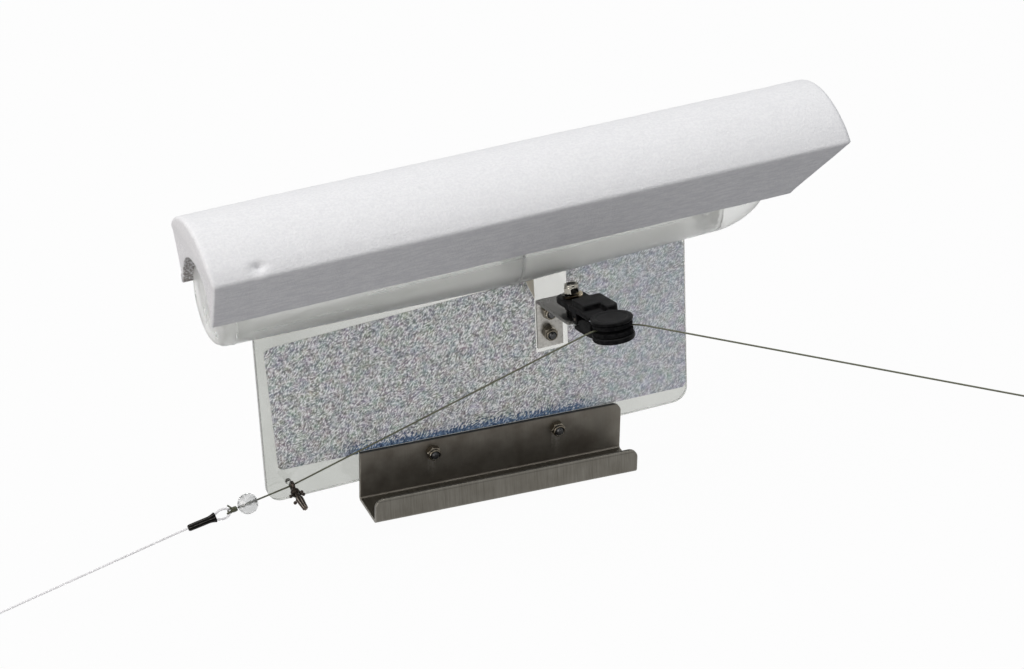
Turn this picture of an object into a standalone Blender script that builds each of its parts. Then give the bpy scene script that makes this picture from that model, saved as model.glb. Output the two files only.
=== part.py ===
"""Planer board with a foam float, a clear keel, a ballast channel and a release clip.

Metres, +Z up. +X points to the bow and -Y to the side that carries the release clip.
The origin is the middle of the ballast channel's underside.

Most pieces are placed in the board's frame: x from the foam's stern face, y from the
keel plate's middle plane and z from the keel plate's lower edge. The clip has a frame
of its own on its bolt, the channel one on its underside and the tackle one on its line.
"""

import math

import bmesh
import bpy
from mathutils import Matrix, Vector

MM = 0.001

# Clearances: FIT is the gap that touching pieces keep
FIT = 0.3 * MM

# Foam float
FOAM_LENGTH = 270 * MM
FOAM_SHOULDER_WIDTH = 56 * MM
FOAM_FOOT_LIP = 0.9 * MM
FOAM_SHOULDER_HEIGHT = 22 * MM
FOAM_ARCH_RISE = 12.3 * MM
FOAM_BOW_RAKE = 22.5 * MM
FOAM_END_ROUND = 3 * MM

# Hull tube, its caps and its seam ring; the belly is how far the tube sags at the ring
HULL_RADIUS = 18.3 * MM
HULL_WALL = 1.5 * MM
HULL_AXIS_HEIGHT = 98.9 * MM
HULL_BELLY = 3.2 * MM
HULL_STERN = 3 * MM
STERN_CAP_LENGTH = 8 * MM
STERN_CAP_ROUND = 5 * MM
SEAM_STATION = 130 * MM
SEAM_THICKNESS = 1.4 * MM
HULL_OVERHANG = 10.1 * MM
BOW_CAP_LENGTH = 27 * MM
SPIGOT_LENGTH = 5 * MM

# Keel plate
PLATE_STATION = 21.2 * MM
PLATE_LENGTH = 186.7 * MM
PLATE_TONGUE = 3.4 * MM
PLATE_THICKNESS = 3 * MM
PLATE_CORNER = 6.5 * MM
FILM_THICKNESS = 0.2 * MM
FILM_NOTCH_MARGIN = 2.6 * MM
FILM_NOTCH_SHOULDER = 15 * MM

# Ballast channel of bent sheet
SHEET = 1.5 * MM
CHANNEL_LENGTH = 116 * MM
CHANNEL_STATION = 117.6 * MM
CHANNEL_DEPTH = 20.2 * MM
CHANNEL_BACK = 23.2 * MM
CHANNEL_LIP = 11.3 * MM
CHANNEL_DROP = 12 * MM
CHANNEL_BEND = 1.7 * MM
CHANNEL_CORNER = 4 * MM
CHANNEL_TILT = math.radians(3.4)
CHANNEL_BOLT_SPAN = 55.2 * MM
CHANNEL_BOLT_SHIFT = 1 * MM
CHANNEL_BOLT_HEIGHT = 17.8 * MM

# Metric bolts and lock nuts
BOLT_RADIUS = 1.5 * MM
BOLT_HEAD_RADIUS = 2.8 * MM
BOLT_HEAD_HEIGHT = 2 * MM
NUT_ACROSS_FLATS = 5.5 * MM
NUT_HEIGHT = 4 * MM
NUT_HEXAGON_SHARE = 0.66
NUT_COLLAR_SHARE = 0.46
BOLT_STANDOUT = 0.8 * MM

# Release bracket
BRACKET_STATION = 140.75 * MM
LEG_WIDTH = 11.25 * MM
LEG_FOOT = 43.6 * MM
FLANGE_WIDTH = 15.6 * MM
FLANGE_ROOT = 66.7 * MM
FLANGE_REACH = 34.5 * MM
FLANGE_RISE = math.radians(13.4)
FLANGE_HOLE_REACH = 22.6 * MM
FLANGE_SHOULDER = 3.4 * MM
BRACKET_BEND = 1.7 * MM
BRACKET_BOLT_INSET = 4.85 * MM
BRACKET_BOLT_HEIGHTS = (51 * MM, 61 * MM)

# Release clip; u runs out along the jaws from the bolt, w up from the flange
CLIP_TURN = math.radians(1.9)
CLIP_HALF_WIDTH = 6.5 * MM
CLIP_REAR = 7.7 * MM
CLIP_BODY_TOP = 5.7 * MM
BEAM_UNDERSIDE = 4.5 * MM
BEAM_TOP = 7.4 * MM
BEAM_STEP_SHARE = 0.05
BLOCK_TOP = 9.2 * MM
BLOCK_REAR = 12.5 * MM
BLOCK_FRONT = 24 * MM
NOSE_SIDE = 1.6 * MM
NOSE_FRONT = 30 * MM
PAD_REACH = 38.7 * MM
JAW_DISC_RADIUS = 8.5 * MM
JAW_DISC_THICKNESS = 2.3 * MM
PAD_RADIUS = 8.1 * MM
PAD_THICKNESS = 1.7 * MM
LINE_PLANE = 3.1 * MM
PIVOT_REACH = 15.2 * MM
PIVOT_HEIGHT = 1.6 * MM
PIVOT_RADIUS = 1 * MM
HUB_RADIUS = 2.4 * MM
CHEEK_WALL = 1.5 * MM
SPRING_WIRE = 0.7 * MM
SPRING_RADIUS = 1.8 * MM
SPRING_PITCH = 1.3 * MM
SPRING_TURNS = 2.5
SPRING_LEG = 10 * MM
WASHER_RADIUS = 4.6 * MM
WASHER_THICKNESS = 0.8 * MM

# Corner hardware, on an axis square to the plate
STUD_INSET = 10 * MM
STUD_HEIGHT = 6.4 * MM
STUD_RADIUS = 0.7 * MM
STUD_BALL = 1.5 * MM
EYE_RADIUS = 1.75 * MM
EYE_WIRE = 0.45 * MM
EYE_DEPTH = 4 * MM
EYE_LIFT = 0.9 * MM
BARREL_FRONT = 8.6 * MM
BOSS_RADIUS = 1.25 * MM
SNAP_WIRE_RADIUS = 0.35 * MM
SNAP_KNOB_RADIUS = 0.65 * MM
SNAP_WIRE_HALF = 2.7 * MM
CLASP_LENGTH = 7.4 * MM
CLASP_RADIUS = 1.75 * MM
CLASP_TAPER = 0.55 * MM
CLASP_RIDGES = 8

# Lines and the tackle on them
LINE_DIAMETER = 0.7 * MM
BEAD_RADIUS = 4.3 * MM
BEAD_TRAVEL_REACH = 19.6 * MM
KNOT_RADIUS = 1.2 * MM
KNOT_LENGTH = 2 * MM
KNOT_TAGS = ((-75, 2.6 * MM), (62, 2.9 * MM))
LOOP_DIAMETER = 0.8 * MM
LOOP_HALF_WIDTH = 1.9 * MM
LEADER_DIAMETER = 0.8 * MM
SLEEVE_REACH = 33.9 * MM
SLEEVE_LENGTH = 12 * MM
SLEEVE_RADIUS = 1.45 * MM
SLEEVE_FLARE = 2.15 * MM
END_KNOT_RADIUS = 1.1 * MM

# Places that follow from the sizes above
PLATE_FACE = PLATE_THICKNESS / 2
PLATE_END = PLATE_STATION + PLATE_LENGTH
PLATE_HEIGHT = HULL_AXIS_HEIGHT - HULL_RADIUS + PLATE_TONGUE
BOW_CAP_STATION = PLATE_END + HULL_OVERHANG
FOAM_FOOT_WIDTH = 2 * (HULL_RADIUS + FIT + FOAM_FOOT_LIP)
BRACKET_BOLT_STATION = BRACKET_STATION + BRACKET_BOLT_INSET
STUD_STATION = PLATE_STATION + STUD_INSET
HULL_BORE = HULL_RADIUS - HULL_WALL
CHANNEL_BACK_FACE = -PLATE_FACE - FIT
CHANNEL_MIDDLE = CHANNEL_BACK_FACE - CHANNEL_DEPTH / 2
ORIGIN = Vector((CHANNEL_STATION, CHANNEL_MIDDLE, -CHANNEL_DROP))
HOLE_RADIUS = BOLT_RADIUS + FIT

COLOURS = {
    "foam": ((0.86, 0.86, 0.87), 0.85, 0.0),
    "hull_plastic": ((0.74, 0.76, 0.72), 0.3, 0.0),
    "keel_plastic": ((0.72, 0.74, 0.72), 0.2, 0.0),
    "film": ((0.6, 0.62, 0.66), 0.3, 0.8),
    "stainless": ((0.42, 0.4, 0.38), 0.35, 1.0),
    "bolt_steel": ((0.5, 0.49, 0.47), 0.25, 1.0),
    "brass": ((0.55, 0.4, 0.2), 0.3, 1.0),
    "clip_plastic": ((0.02, 0.02, 0.022), 0.45, 0.0),
    "rubber": ((0.03, 0.03, 0.032), 0.8, 0.0),
    "dark_nickel": ((0.14, 0.13, 0.13), 0.35, 1.0),
    "line": ((0.14, 0.15, 0.08), 0.5, 0.0),
    "bead": ((0.8, 0.8, 0.82), 0.15, 0.0),
    "leader": ((0.85, 0.85, 0.86), 0.4, 0.0),
    "sleeve": ((0.012, 0.012, 0.012), 0.25, 0.0),
}


def clear_scene():
    for obj in list(bpy.data.objects):
        bpy.data.objects.remove(obj, do_unlink=True)


def look(name):
    """The material of that name, made from COLOURS the first time."""
    material = bpy.data.materials.get(name)
    if material is None:
        colour, roughness, metallic = COLOURS[name]
        material = bpy.data.materials.new(name)
        material.use_nodes = True
        shader = material.node_tree.nodes["Principled BSDF"]
        shader.inputs["Base Color"].default_value = (*colour, 1)
        shader.inputs["Roughness"].default_value = roughness
        shader.inputs["Metallic"].default_value = metallic
    return material


def frame(name, matrix, parent=None):
    """An empty that carries the pieces placed in its own axes."""
    empty = bpy.data.objects.new(name, None)
    bpy.context.collection.objects.link(empty)
    empty.parent = parent
    empty.matrix_local = matrix
    return empty


def axes(u, v, w, origin):
    """The placing matrix whose X, Y and Z are the unit vectors u, v and w."""
    matrix = Matrix((u, v, w)).transposed().to_4x4()
    matrix.translation = origin
    return matrix


def piece(name, shape, material, parent, place=(0, 0, 0)):
    """A named piece from a bmesh, shaded smooth except at its sharp edges."""
    bmesh.ops.recalc_face_normals(shape, faces=shape.faces)
    mesh = bpy.data.meshes.new(name)
    shape.to_mesh(mesh)
    shape.free()
    mesh.shade_smooth()
    mesh.set_sharp_from_angle(angle=math.radians(32))
    obj = bpy.data.objects.new(name, mesh)
    bpy.context.collection.objects.link(obj)
    obj.parent = parent
    obj.matrix_local = place if isinstance(place, Matrix) else Matrix.Translation(place)
    if material:
        mesh.materials.append(look(material))
    return obj


def combine(target, operation, shape, place=(0, 0, 0)):
    """A Boolean on target with a hidden helper in the same frame."""
    number = len(target.modifiers) + 1
    helper = piece(f"{target.name}_{operation.lower()}_{number}", shape, None, target.parent, place)
    helper.hide_render = True
    helper.display_type = "WIRE"
    modifier = target.modifiers.new(helper.name, "BOOLEAN")
    modifier.operation = operation
    modifier.solver = "EXACT"
    modifier.object = helper


def cut(target, shape, place=(0, 0, 0)):
    combine(target, "DIFFERENCE", shape, place)


def fuse(target, shape, place=(0, 0, 0)):
    combine(target, "UNION", shape, place)


def swapped(axis, a, b, height):
    """Point (a, b) of an outline at a height along the axis."""
    if axis == "X":
        return (height, a, b)
    if axis == "Y":
        return (a, height, b)
    return (a, b, height)


def lofted(rings, hollow=False):
    """A closed skin over rings of equal count: capped, or joined end to end where hollow."""
    shape = bmesh.new()
    rows = [[shape.verts.new(point) for point in ring] for ring in rings]
    pairs = list(zip(rows, rows[1:]))
    if hollow:
        pairs.append((rows[-1], rows[0]))
    for low, high in pairs:
        for i in range(len(low)):
            j = (i + 1) % len(low)
            shape.faces.new((low[i], low[j], high[j], high[i]))
    if not hollow:
        shape.faces.new(rows[0])
        shape.faces.new(rows[-1])
    return shape


def prism(outline, low, high, axis="Z"):
    """An outline drawn across the axis, carried from low to high along it."""
    return lofted([[swapped(axis, a, b, h) for a, b in outline] for h in (low, high)])


def box(x, y, z):
    """A box from three pairs of limits."""
    corners = ((x[0], y[0]), (x[1], y[0]), (x[1], y[1]), (x[0], y[1]))
    return prism(corners, z[0], z[1])


def turned(profile, axis="Z", steps=24):
    """A profile of (radius, height) turned about the axis; an end off the axis closes on the other."""
    shape = bmesh.new()
    rows = []
    for radius, height in profile:
        if radius == 0:
            rows.append([shape.verts.new(swapped(axis, 0, 0, height))] * steps)
            continue
        ring = []
        for i in range(steps):
            angle = 2 * math.pi * i / steps
            point = swapped(axis, radius * math.cos(angle), radius * math.sin(angle), height)
            ring.append(shape.verts.new(point))
        rows.append(ring)
    pairs = list(zip(rows, rows[1:]))
    if profile[0][0] or profile[-1][0]:
        pairs.append((rows[-1], rows[0]))
    for low, high in pairs:
        for i in range(steps):
            j = (i + 1) % steps
            corners = dict.fromkeys((low[i], low[j], high[j], high[i]))
            if len(corners) > 2:
                shape.faces.new(corners)
    return shape


def rod(radius, low, high, axis="Z", steps=20):
    return turned(((0, low), (radius, low), (radius, high), (0, high)), axis, steps)


def arc(centre, radius, start, end, steps):
    """Points of an arc from the start to the end angle in degrees."""
    points = []
    for i in range(steps + 1):
        angle = math.radians(start + (end - start) * i / steps)
        points.append((centre[0] + radius * math.cos(angle), centre[1] + radius * math.sin(angle)))
    return points


def rounded(corners, steps=5):
    """An outline from (a, b, radius) corners, each rounded by its radius."""
    points = []
    for i, (a, b, radius) in enumerate(corners):
        here = Vector((a, b))
        if radius == 0:
            points.append((a, b))
            continue
        back = (Vector(corners[i - 1][:2]) - here).normalized()
        ahead = (Vector(corners[(i + 1) % len(corners)][:2]) - here).normalized()
        half = back.angle(ahead) / 2
        centre = here + (back + ahead).normalized() * radius / math.sin(half)
        first = here + back * radius / math.tan(half) - centre
        last = here + ahead * radius / math.tan(half) - centre
        turn = first.angle_signed(last)
        for k in range(steps + 1):
            step = turn * k / steps
            spin = Matrix.Rotation(-step, 2)
            points.append(tuple(centre + spin @ first))
    return points


def smooth_route(route, spacing):
    """Points of a smooth curve through the route's points, about one per spacing."""
    route = [Vector(point) for point in route]
    ends = [2 * route[0] - route[1], *route, 2 * route[-1] - route[-2]]
    points = [route[0]]
    for i in range(1, len(ends) - 2):
        p0, p1, p2, p3 = ends[i - 1 : i + 3]
        d1 = (p1 - p0).length ** 0.5
        d2 = (p2 - p1).length ** 0.5
        d3 = (p3 - p2).length ** 0.5
        m1 = (p2 - p1) + d2 * ((p1 - p0) / d1 - (p2 - p0) / (d1 + d2))
        m2 = (p2 - p1) + d2 * ((p3 - p2) / d3 - (p3 - p1) / (d2 + d3))
        count = max(1, round((p2 - p1).length / spacing))
        for k in range(1, count + 1):
            t = k / count
            bend = p1 * (2 * t**3 - 3 * t**2 + 1) + m1 * (t**3 - 2 * t**2 + t)
            points.append(bend + p2 * (3 * t**2 - 2 * t**3) + m2 * (t**3 - t**2))
    return points


def cord(name, points, diameter, material, parent, resolution=2):
    """A round cord with closed ends along the points."""
    curve = bpy.data.curves.new(name, "CURVE")
    curve.dimensions = "3D"
    curve.bevel_depth = diameter / 2
    curve.bevel_resolution = resolution
    curve.use_fill_caps = True
    spline = curve.splines.new("POLY")
    spline.points.add(len(points) - 1)
    for slot, point in zip(spline.points, points):
        slot.co = (*point, 1)
    curve.materials.append(look(material))
    obj = bpy.data.objects.new(name, curve)
    bpy.context.collection.objects.link(obj)
    obj.parent = parent
    return obj


# The frames that the pieces are placed in
clear_scene()
board = frame("board_frame", Matrix.Translation(-ORIGIN))
channel = frame(
    "channel_frame", Matrix.Translation(ORIGIN) @ Matrix.Rotation(CHANNEL_TILT, 4, "Y"), board
)

flange_out = Vector((0, -math.cos(FLANGE_RISE), math.sin(FLANGE_RISE)))
flange_up = Vector((0, math.sin(FLANGE_RISE), math.cos(FLANGE_RISE)))
flange_root = Vector((BRACKET_STATION, CHANNEL_BACK_FACE - SHEET, FLANGE_ROOT))
clip_foot = flange_root + flange_out * FLANGE_HOLE_REACH + Vector((FLANGE_WIDTH / 2, 0, 0))
clip_out = Matrix.Rotation(CLIP_TURN, 3, flange_up) @ flange_out
clip = frame("clip_frame", axes(clip_out, flange_up.cross(clip_out), flange_up, clip_foot), board)

RING_POINT = Vector((STUD_STATION, -3.8 * MM, 7.7 * MM))
SLEEVE_POINT = Vector((-14.1 * MM, -5 * MM, 0.3 * MM))
tackle_out = (SLEEVE_POINT - RING_POINT).normalized()
tackle_face = Vector((0, -0.84, 0.54))
tackle_side = tackle_face.cross(tackle_out).normalized()
tackle_face = tackle_out.cross(tackle_side)
tackle = frame("tackle_frame", axes(tackle_side, tackle_face, tackle_out, RING_POINT), board)


def build_foam():
    """The arched block, grooved to seat the hull and raked at the bow."""
    foot = HULL_AXIS_HEIGHT
    half = FOAM_SHOULDER_WIDTH / 2
    shoulder = foot + FOAM_SHOULDER_HEIGHT
    arch_radius = (half**2 + FOAM_ARCH_RISE**2) / (2 * FOAM_ARCH_RISE)
    arch_centre = (0, shoulder + FOAM_ARCH_RISE - arch_radius)
    lean = math.degrees(math.asin(half / arch_radius))
    outline = [(-FOAM_FOOT_WIDTH / 2, foot)]
    outline += arc(arch_centre, arch_radius, 90 + lean, 90 - lean, 24)
    outline += [(FOAM_FOOT_WIDTH / 2, foot)]
    outline += arc((0, foot), HULL_RADIUS + FIT, 0, 180, 28)
    shape = prism(outline, 0, FOAM_LENGTH, "X")
    arch_end = [
        edge
        for edge in shape.edges
        if all(v.co.x > FOAM_LENGTH - MM and v.co.z > shoulder - 0.01 * MM for v in edge.verts)
        and all(abs(v.co.y) + v.co.z - foot > HULL_RADIUS + 6 * MM for v in edge.verts)
    ]
    bmesh.ops.bevel(
        shape, geom=arch_end, offset=FOAM_END_ROUND, segments=3, profile=0.5, affect="EDGES"
    )
    foam = piece("foam_float", shape, "foam", board)
    beyond = FOAM_LENGTH + 5 * MM
    rake = rounded(
        (
            (FOAM_LENGTH - FOAM_BOW_RAKE, foot, 2 * MM),
            (FOAM_LENGTH - FOAM_BOW_RAKE, foot - 5 * MM, 0),
            (beyond, foot - 5 * MM, 0),
            (beyond, shoulder, 0),
            (FOAM_LENGTH, shoulder, 2 * MM),
        )
    )
    cut(foam, prism(rake, -FOAM_SHOULDER_WIDTH, FOAM_SHOULDER_WIDTH, "Y"))


def hull_ring(station, radius, belly):
    """A ring about the hull's axis whose lower half is deepened by the belly."""
    ring = []
    for i in range(40):
        angle = 2 * math.pi * i / 40
        y = radius * math.sin(angle)
        z = radius * math.cos(angle)
        if z < 0:
            z *= (radius + belly) / radius
        ring.append((station, y, HULL_AXIS_HEIGHT + z))
    return ring


def belly_at(station):
    """The sag of the hull at a station, straight from each cap to the seam ring."""
    stern = HULL_STERN + STERN_CAP_LENGTH
    if station < SEAM_STATION:
        return HULL_BELLY * (station - stern) / (SEAM_STATION - stern)
    return HULL_BELLY * (BOW_CAP_STATION - station) / (BOW_CAP_STATION - SEAM_STATION)


def hull_tube(name, start, end):
    rings = [
        hull_ring(start, HULL_BORE, belly_at(start)),
        hull_ring(start, HULL_RADIUS, belly_at(start)),
        hull_ring(end, HULL_RADIUS, belly_at(end)),
        hull_ring(end, HULL_BORE, belly_at(end)),
    ]
    return piece(name, lofted(rings, hollow=True), "hull_plastic", board)


def plate_slot():
    """The room that the keel plate takes in the hull, with its clearance."""
    ends = (PLATE_STATION - FIT, PLATE_END + FIT)
    side = PLATE_FACE + FIT
    return box(ends, (-side, side), (PLATE_HEIGHT - 20 * MM, PLATE_HEIGHT + FIT))


def build_hull():
    """Two tubes that meet at a seam ring, closed by a flat stern cap and a domed bow cap."""
    tube_stern = HULL_STERN + STERN_CAP_LENGTH + FIT
    seam_end = SEAM_STATION + SEAM_THICKNESS
    cut(hull_tube("hull_rear_tube", tube_stern, SEAM_STATION - FIT), plate_slot())
    cut(hull_tube("hull_front_tube", seam_end + FIT, BOW_CAP_STATION - FIT), plate_slot())
    seam = [hull_ring(x, HULL_RADIUS, HULL_BELLY) for x in (SEAM_STATION, seam_end)]
    cut(piece("hull_seam_ring", lofted(seam), "hull_plastic", board), plate_slot())

    spigot = HULL_BORE - FIT
    bore = spigot - HULL_WALL
    flat = HULL_RADIUS - STERN_CAP_ROUND
    rim = STERN_CAP_LENGTH
    stern = [(0, 0)]
    stern += arc((flat, STERN_CAP_ROUND), STERN_CAP_ROUND, -90, 0, 6)
    stern += [(HULL_RADIUS, rim), (spigot, rim), (spigot, rim + SPIGOT_LENGTH)]
    stern += [(bore, rim + SPIGOT_LENGTH), (bore, 3 * HULL_WALL), (0, HULL_WALL)]
    centre = (HULL_STERN, 0, HULL_AXIS_HEIGHT)
    piece("stern_cap", turned(stern, "X", 40), "hull_plastic", board, centre)

    bow = [(0, -SPIGOT_LENGTH * 0.2), (bore, -SPIGOT_LENGTH * 0.2), (bore, -SPIGOT_LENGTH)]
    bow += [(spigot, -SPIGOT_LENGTH), (spigot, 0)]
    for i in range(11):
        angle = math.pi / 2 * i / 10
        radius = HULL_RADIUS * math.cos(angle) if i < 10 else 0
        bow.append((radius, BOW_CAP_LENGTH * math.sin(angle) ** 1.15))
    centre = (BOW_CAP_STATION, 0, HULL_AXIS_HEIGHT)
    piece("bow_cap", turned(bow, "X", 40), "hull_plastic", board, centre)


def on_channel(x, z):
    """A point of the channel's back, from its own axes to the board's."""
    spin = Matrix.Rotation(CHANNEL_TILT, 3, "Y")
    return ORIGIN + spin @ Vector((x, 0, z))


def channel_bolt_places():
    for x in (-CHANNEL_BOLT_SPAN / 2, CHANNEL_BOLT_SPAN / 2):
        yield on_channel(x + CHANNEL_BOLT_SHIFT, CHANNEL_BOLT_HEIGHT)


def build_plate():
    """The clear keel with its rounded lower corners and its holes."""
    outline = rounded(
        (
            (PLATE_STATION, 0, PLATE_CORNER),
            (PLATE_STATION, PLATE_HEIGHT, 0),
            (PLATE_END, PLATE_HEIGHT, 0),
            (PLATE_END, 0, PLATE_CORNER),
        )
    )
    plate = piece("keel_plate", prism(outline, -PLATE_FACE, PLATE_FACE, "Y"), "keel_plastic", board)
    reach = PLATE_THICKNESS
    for spot in channel_bolt_places():
        cut(plate, rod(HOLE_RADIUS, -reach, reach, "Y"), (spot.x, 0, spot.z))
    for height in BRACKET_BOLT_HEIGHTS:
        cut(plate, rod(HOLE_RADIUS, -reach, reach, "Y"), (BRACKET_BOLT_STATION, 0, height))
    cut(plate, rod(STUD_RADIUS + FIT, -reach, reach, "Y"), (STUD_STATION, 0, STUD_HEIGHT))


def build_film():
    """The film on the keel's front, cut at its corners and notched for the bracket."""
    left, right, top = PLATE_STATION, PLATE_END, PLATE_HEIGHT
    outline = (
        (left + 3.4 * MM, top - 12.4 * MM), (left + 7.4 * MM, top - 11.1 * MM),
        (right - 2.5 * MM, top - 5.3 * MM), (right - 0.9 * MM, top - 7 * MM),
        (right - 0.9 * MM, 8.6 * MM), (right - 2.4 * MM, 7.1 * MM),
        (left + 6.6 * MM, 15 * MM), (left + 5.3 * MM, 16.4 * MM),
    )  # fmt: skip
    face = -PLATE_FACE - FIT
    film = piece("reflective_film", prism(outline, face - FILM_THICKNESS, face, "Y"), "film", board)
    notch_foot = LEG_FOOT - FILM_NOTCH_MARGIN
    notch_shoulder = FLANGE_ROOT + FILM_NOTCH_SHOULDER
    notch = (
        (BRACKET_STATION - 1.8 * MM, notch_foot),
        (BRACKET_STATION + LEG_WIDTH + 3 * MM, notch_foot),
        (BRACKET_STATION + FLANGE_WIDTH + 2.1 * MM, notch_shoulder),
        (BRACKET_STATION + FLANGE_WIDTH + 2.1 * MM, PLATE_HEIGHT),
        (BRACKET_STATION - 6.5 * MM, PLATE_HEIGHT),
        (BRACKET_STATION - 6.5 * MM, notch_shoulder),
    )
    cut(film, prism(notch, face - SHEET, face + SHEET, "Y"))
    half = CHANNEL_LENGTH / 2 + FIT
    room = box((-half, half), (face - SHEET, face + SHEET), (-MM, CHANNEL_BACK + FIT))
    cut(film, room, Matrix.Translation((ORIGIN.x, 0, ORIGIN.z)) @ Matrix.Rotation(CHANNEL_TILT, 4, "Y"))


def corner_scrap(radius, side):
    """What is cut away to round a sheet's upper corner, drawn from the corner inward."""
    out = 2 * MM
    outline = [(side * a, b) for a, b in arc((-radius, -radius), radius, 90, 0, 6)]
    outline += [(side * out, -radius), (side * out, out), (-side * radius, out)]
    return outline


def build_channel():
    """The J of bent sheet that carries the ballast; only its back's stern corner is left square."""
    back = CHANNEL_DEPTH / 2
    front = -back
    inner = CHANNEL_BEND - SHEET + 0.6 * MM
    section = rounded(
        (
            (back, 0, CHANNEL_BEND),
            (back, CHANNEL_BACK, 0),
            (back - SHEET, CHANNEL_BACK, 0),
            (back - SHEET, SHEET, inner),
            (front + SHEET, SHEET, inner),
            (front + SHEET, CHANNEL_LIP, 0),
            (front, CHANNEL_LIP, 0),
            (front, 0, CHANNEL_BEND),
        ),
        4,
    )
    half = CHANNEL_LENGTH / 2
    sheet = piece("ballast_channel", prism(section, -half, half, "X"), "stainless", channel)
    for side in (-1, 1):
        scrap = corner_scrap(CHANNEL_CORNER, side)
        if side == 1:
            cut(sheet, prism(scrap, back - 2 * SHEET, back + SHEET, "Y"), (half, 0, CHANNEL_BACK))
        corner = (side * half, 0, CHANNEL_LIP)
        cut(sheet, prism(scrap, front - SHEET, front + 2 * SHEET, "Y"), corner)
        bolt_station = side * CHANNEL_BOLT_SPAN / 2 + CHANNEL_BOLT_SHIFT
        hole = rod(HOLE_RADIUS, back - 2 * SHEET, back + SHEET, "Y")
        cut(sheet, hole, (bolt_station, 0, CHANNEL_BOLT_HEIGHT))


def hexagon_radius(angle, across_flats):
    return across_flats / 2 / math.cos((angle + math.pi / 6) % (math.pi / 3) - math.pi / 6)


def add_nut(name, parent, place):
    """A lock nut along +Z from its seat: a chamfered hexagon with a round collar."""
    hexagon_top = NUT_HEIGHT * NUT_HEXAGON_SHARE
    collar = NUT_ACROSS_FLATS * NUT_COLLAR_SHARE
    crown = max(collar - 0.6 * MM, (collar + HOLE_RADIUS) / 2)
    levels = (
        (None, 0), (None, hexagon_top), (collar, hexagon_top + 0.3 * MM),
        (collar, NUT_HEIGHT - 0.5 * MM), (crown, NUT_HEIGHT),
        (HOLE_RADIUS, NUT_HEIGHT), (HOLE_RADIUS, 0),
    )  # fmt: skip
    rings = []
    for radius, height in levels:
        ring = []
        for i in range(24):
            angle = 2 * math.pi * i / 24
            reach = radius or hexagon_radius(angle, NUT_ACROSS_FLATS)
            ring.append((reach * math.cos(angle), reach * math.sin(angle), height))
        rings.append(ring)
    return piece(name, lofted(rings, hollow=True), "bolt_steel", parent, place)


def add_bolt(name, grip, parent, place):
    """A bolt with a round head below its seat and a shank along +Z past the nut."""
    end = grip + NUT_HEIGHT + BOLT_STANDOUT
    profile = [(0, -BOLT_HEAD_HEIGHT), (BOLT_HEAD_RADIUS * 0.72, -BOLT_HEAD_HEIGHT)]
    profile += [(BOLT_HEAD_RADIUS, -BOLT_HEAD_HEIGHT * 0.55), (BOLT_HEAD_RADIUS, 0)]
    profile += [(BOLT_RADIUS, 0), (BOLT_RADIUS, end - 0.4 * MM), (BOLT_RADIUS * 0.7, end), (0, end)]
    return piece(name, turned(profile), "bolt_steel", parent, place)


def facing_front(x, z, y):
    """A place in the board's frame whose +Z points to the front of the board."""
    return Matrix.Translation((x, y, z)) @ Matrix.Rotation(math.radians(90), 4, "X")


def build_plate_fasteners():
    """The bolts through the keel from behind, with their nuts on the sheet in front."""
    head_face = PLATE_FACE + FIT
    nut_face = CHANNEL_BACK_FACE - SHEET - FIT
    grip = head_face - nut_face
    spots = [(spot.x, spot.z) for spot in channel_bolt_places()]
    spots += [(BRACKET_BOLT_STATION, height) for height in BRACKET_BOLT_HEIGHTS]
    names = ("channel_{}_rear", "channel_{}_front", "bracket_{}_lower", "bracket_{}_upper")
    for name, (x, z) in zip(names, spots):
        add_bolt(name.format("bolt"), grip, board, facing_front(x, z, head_face))
        add_nut(name.format("nut"), board, facing_front(x, z, nut_face))


def build_bracket():
    """The bent strip: a leg on the keel and a raised flange for the clip."""
    leg_front = CHANNEL_BACK_FACE - SHEET
    slope = math.tan(FLANGE_RISE)
    root = (leg_front, FLANGE_ROOT)
    tip = (root[0] + flange_out.y * FLANGE_REACH, root[1] + flange_out.z * FLANGE_REACH)
    under = (tip[0] - flange_up.y * SHEET, tip[1] - flange_up.z * SHEET)
    outline = rounded(
        (
            (CHANNEL_BACK_FACE, LEG_FOOT, 0),
            (CHANNEL_BACK_FACE, FLANGE_ROOT - SHEET * slope, BRACKET_BEND),
            (*tip, 0),
            (*under, 0),
            (leg_front, under[1] - (leg_front - under[0]) * slope, BRACKET_BEND - 1.2 * MM),
            (leg_front, LEG_FOOT, 0),
        )
    )
    end = BRACKET_STATION + FLANGE_WIDTH
    strip = piece("release_bracket", prism(outline, BRACKET_STATION, end, "X"), "stainless", board)
    leg_end = BRACKET_STATION + LEG_WIDTH
    cut(strip, box((leg_end, end + MM), (leg_front - MM, 0), (0, FLANGE_ROOT - FLANGE_SHOULDER)))
    for height in BRACKET_BOLT_HEIGHTS:
        hole = rod(HOLE_RADIUS, leg_front - MM, 0, "Y")
        cut(strip, hole, (BRACKET_BOLT_STATION, 0, height))
    hole = rod(HOLE_RADIUS, -2 * SHEET, SHEET)
    cut(strip, hole, axes(Vector((1, 0, 0)), -flange_out, flange_up, clip_foot))


def disc_outline(steps=32):
    return arc((PAD_REACH, 0), JAW_DISC_RADIUS, 0, 360 - 360 / steps, steps - 1)


def cheek_outline():
    """The lug that holds the pivot pin, round about the pin."""
    lug = arc((PIVOT_REACH, PIVOT_HEIGHT), HUB_RADIUS, 180, 360, 10)
    top = BEAM_UNDERSIDE + MM
    return [*lug, (PIVOT_REACH + HUB_RADIUS, top), (PIVOT_REACH - HUB_RADIUS, top)]


UPPER_DISC_LOW = LINE_PLANE + LINE_DIAMETER / 2 + 2 * FIT + PAD_THICKNESS
LOWER_DISC_HIGH = LINE_PLANE - LINE_DIAMETER / 2 - 2 * FIT - PAD_THICKNESS


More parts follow.
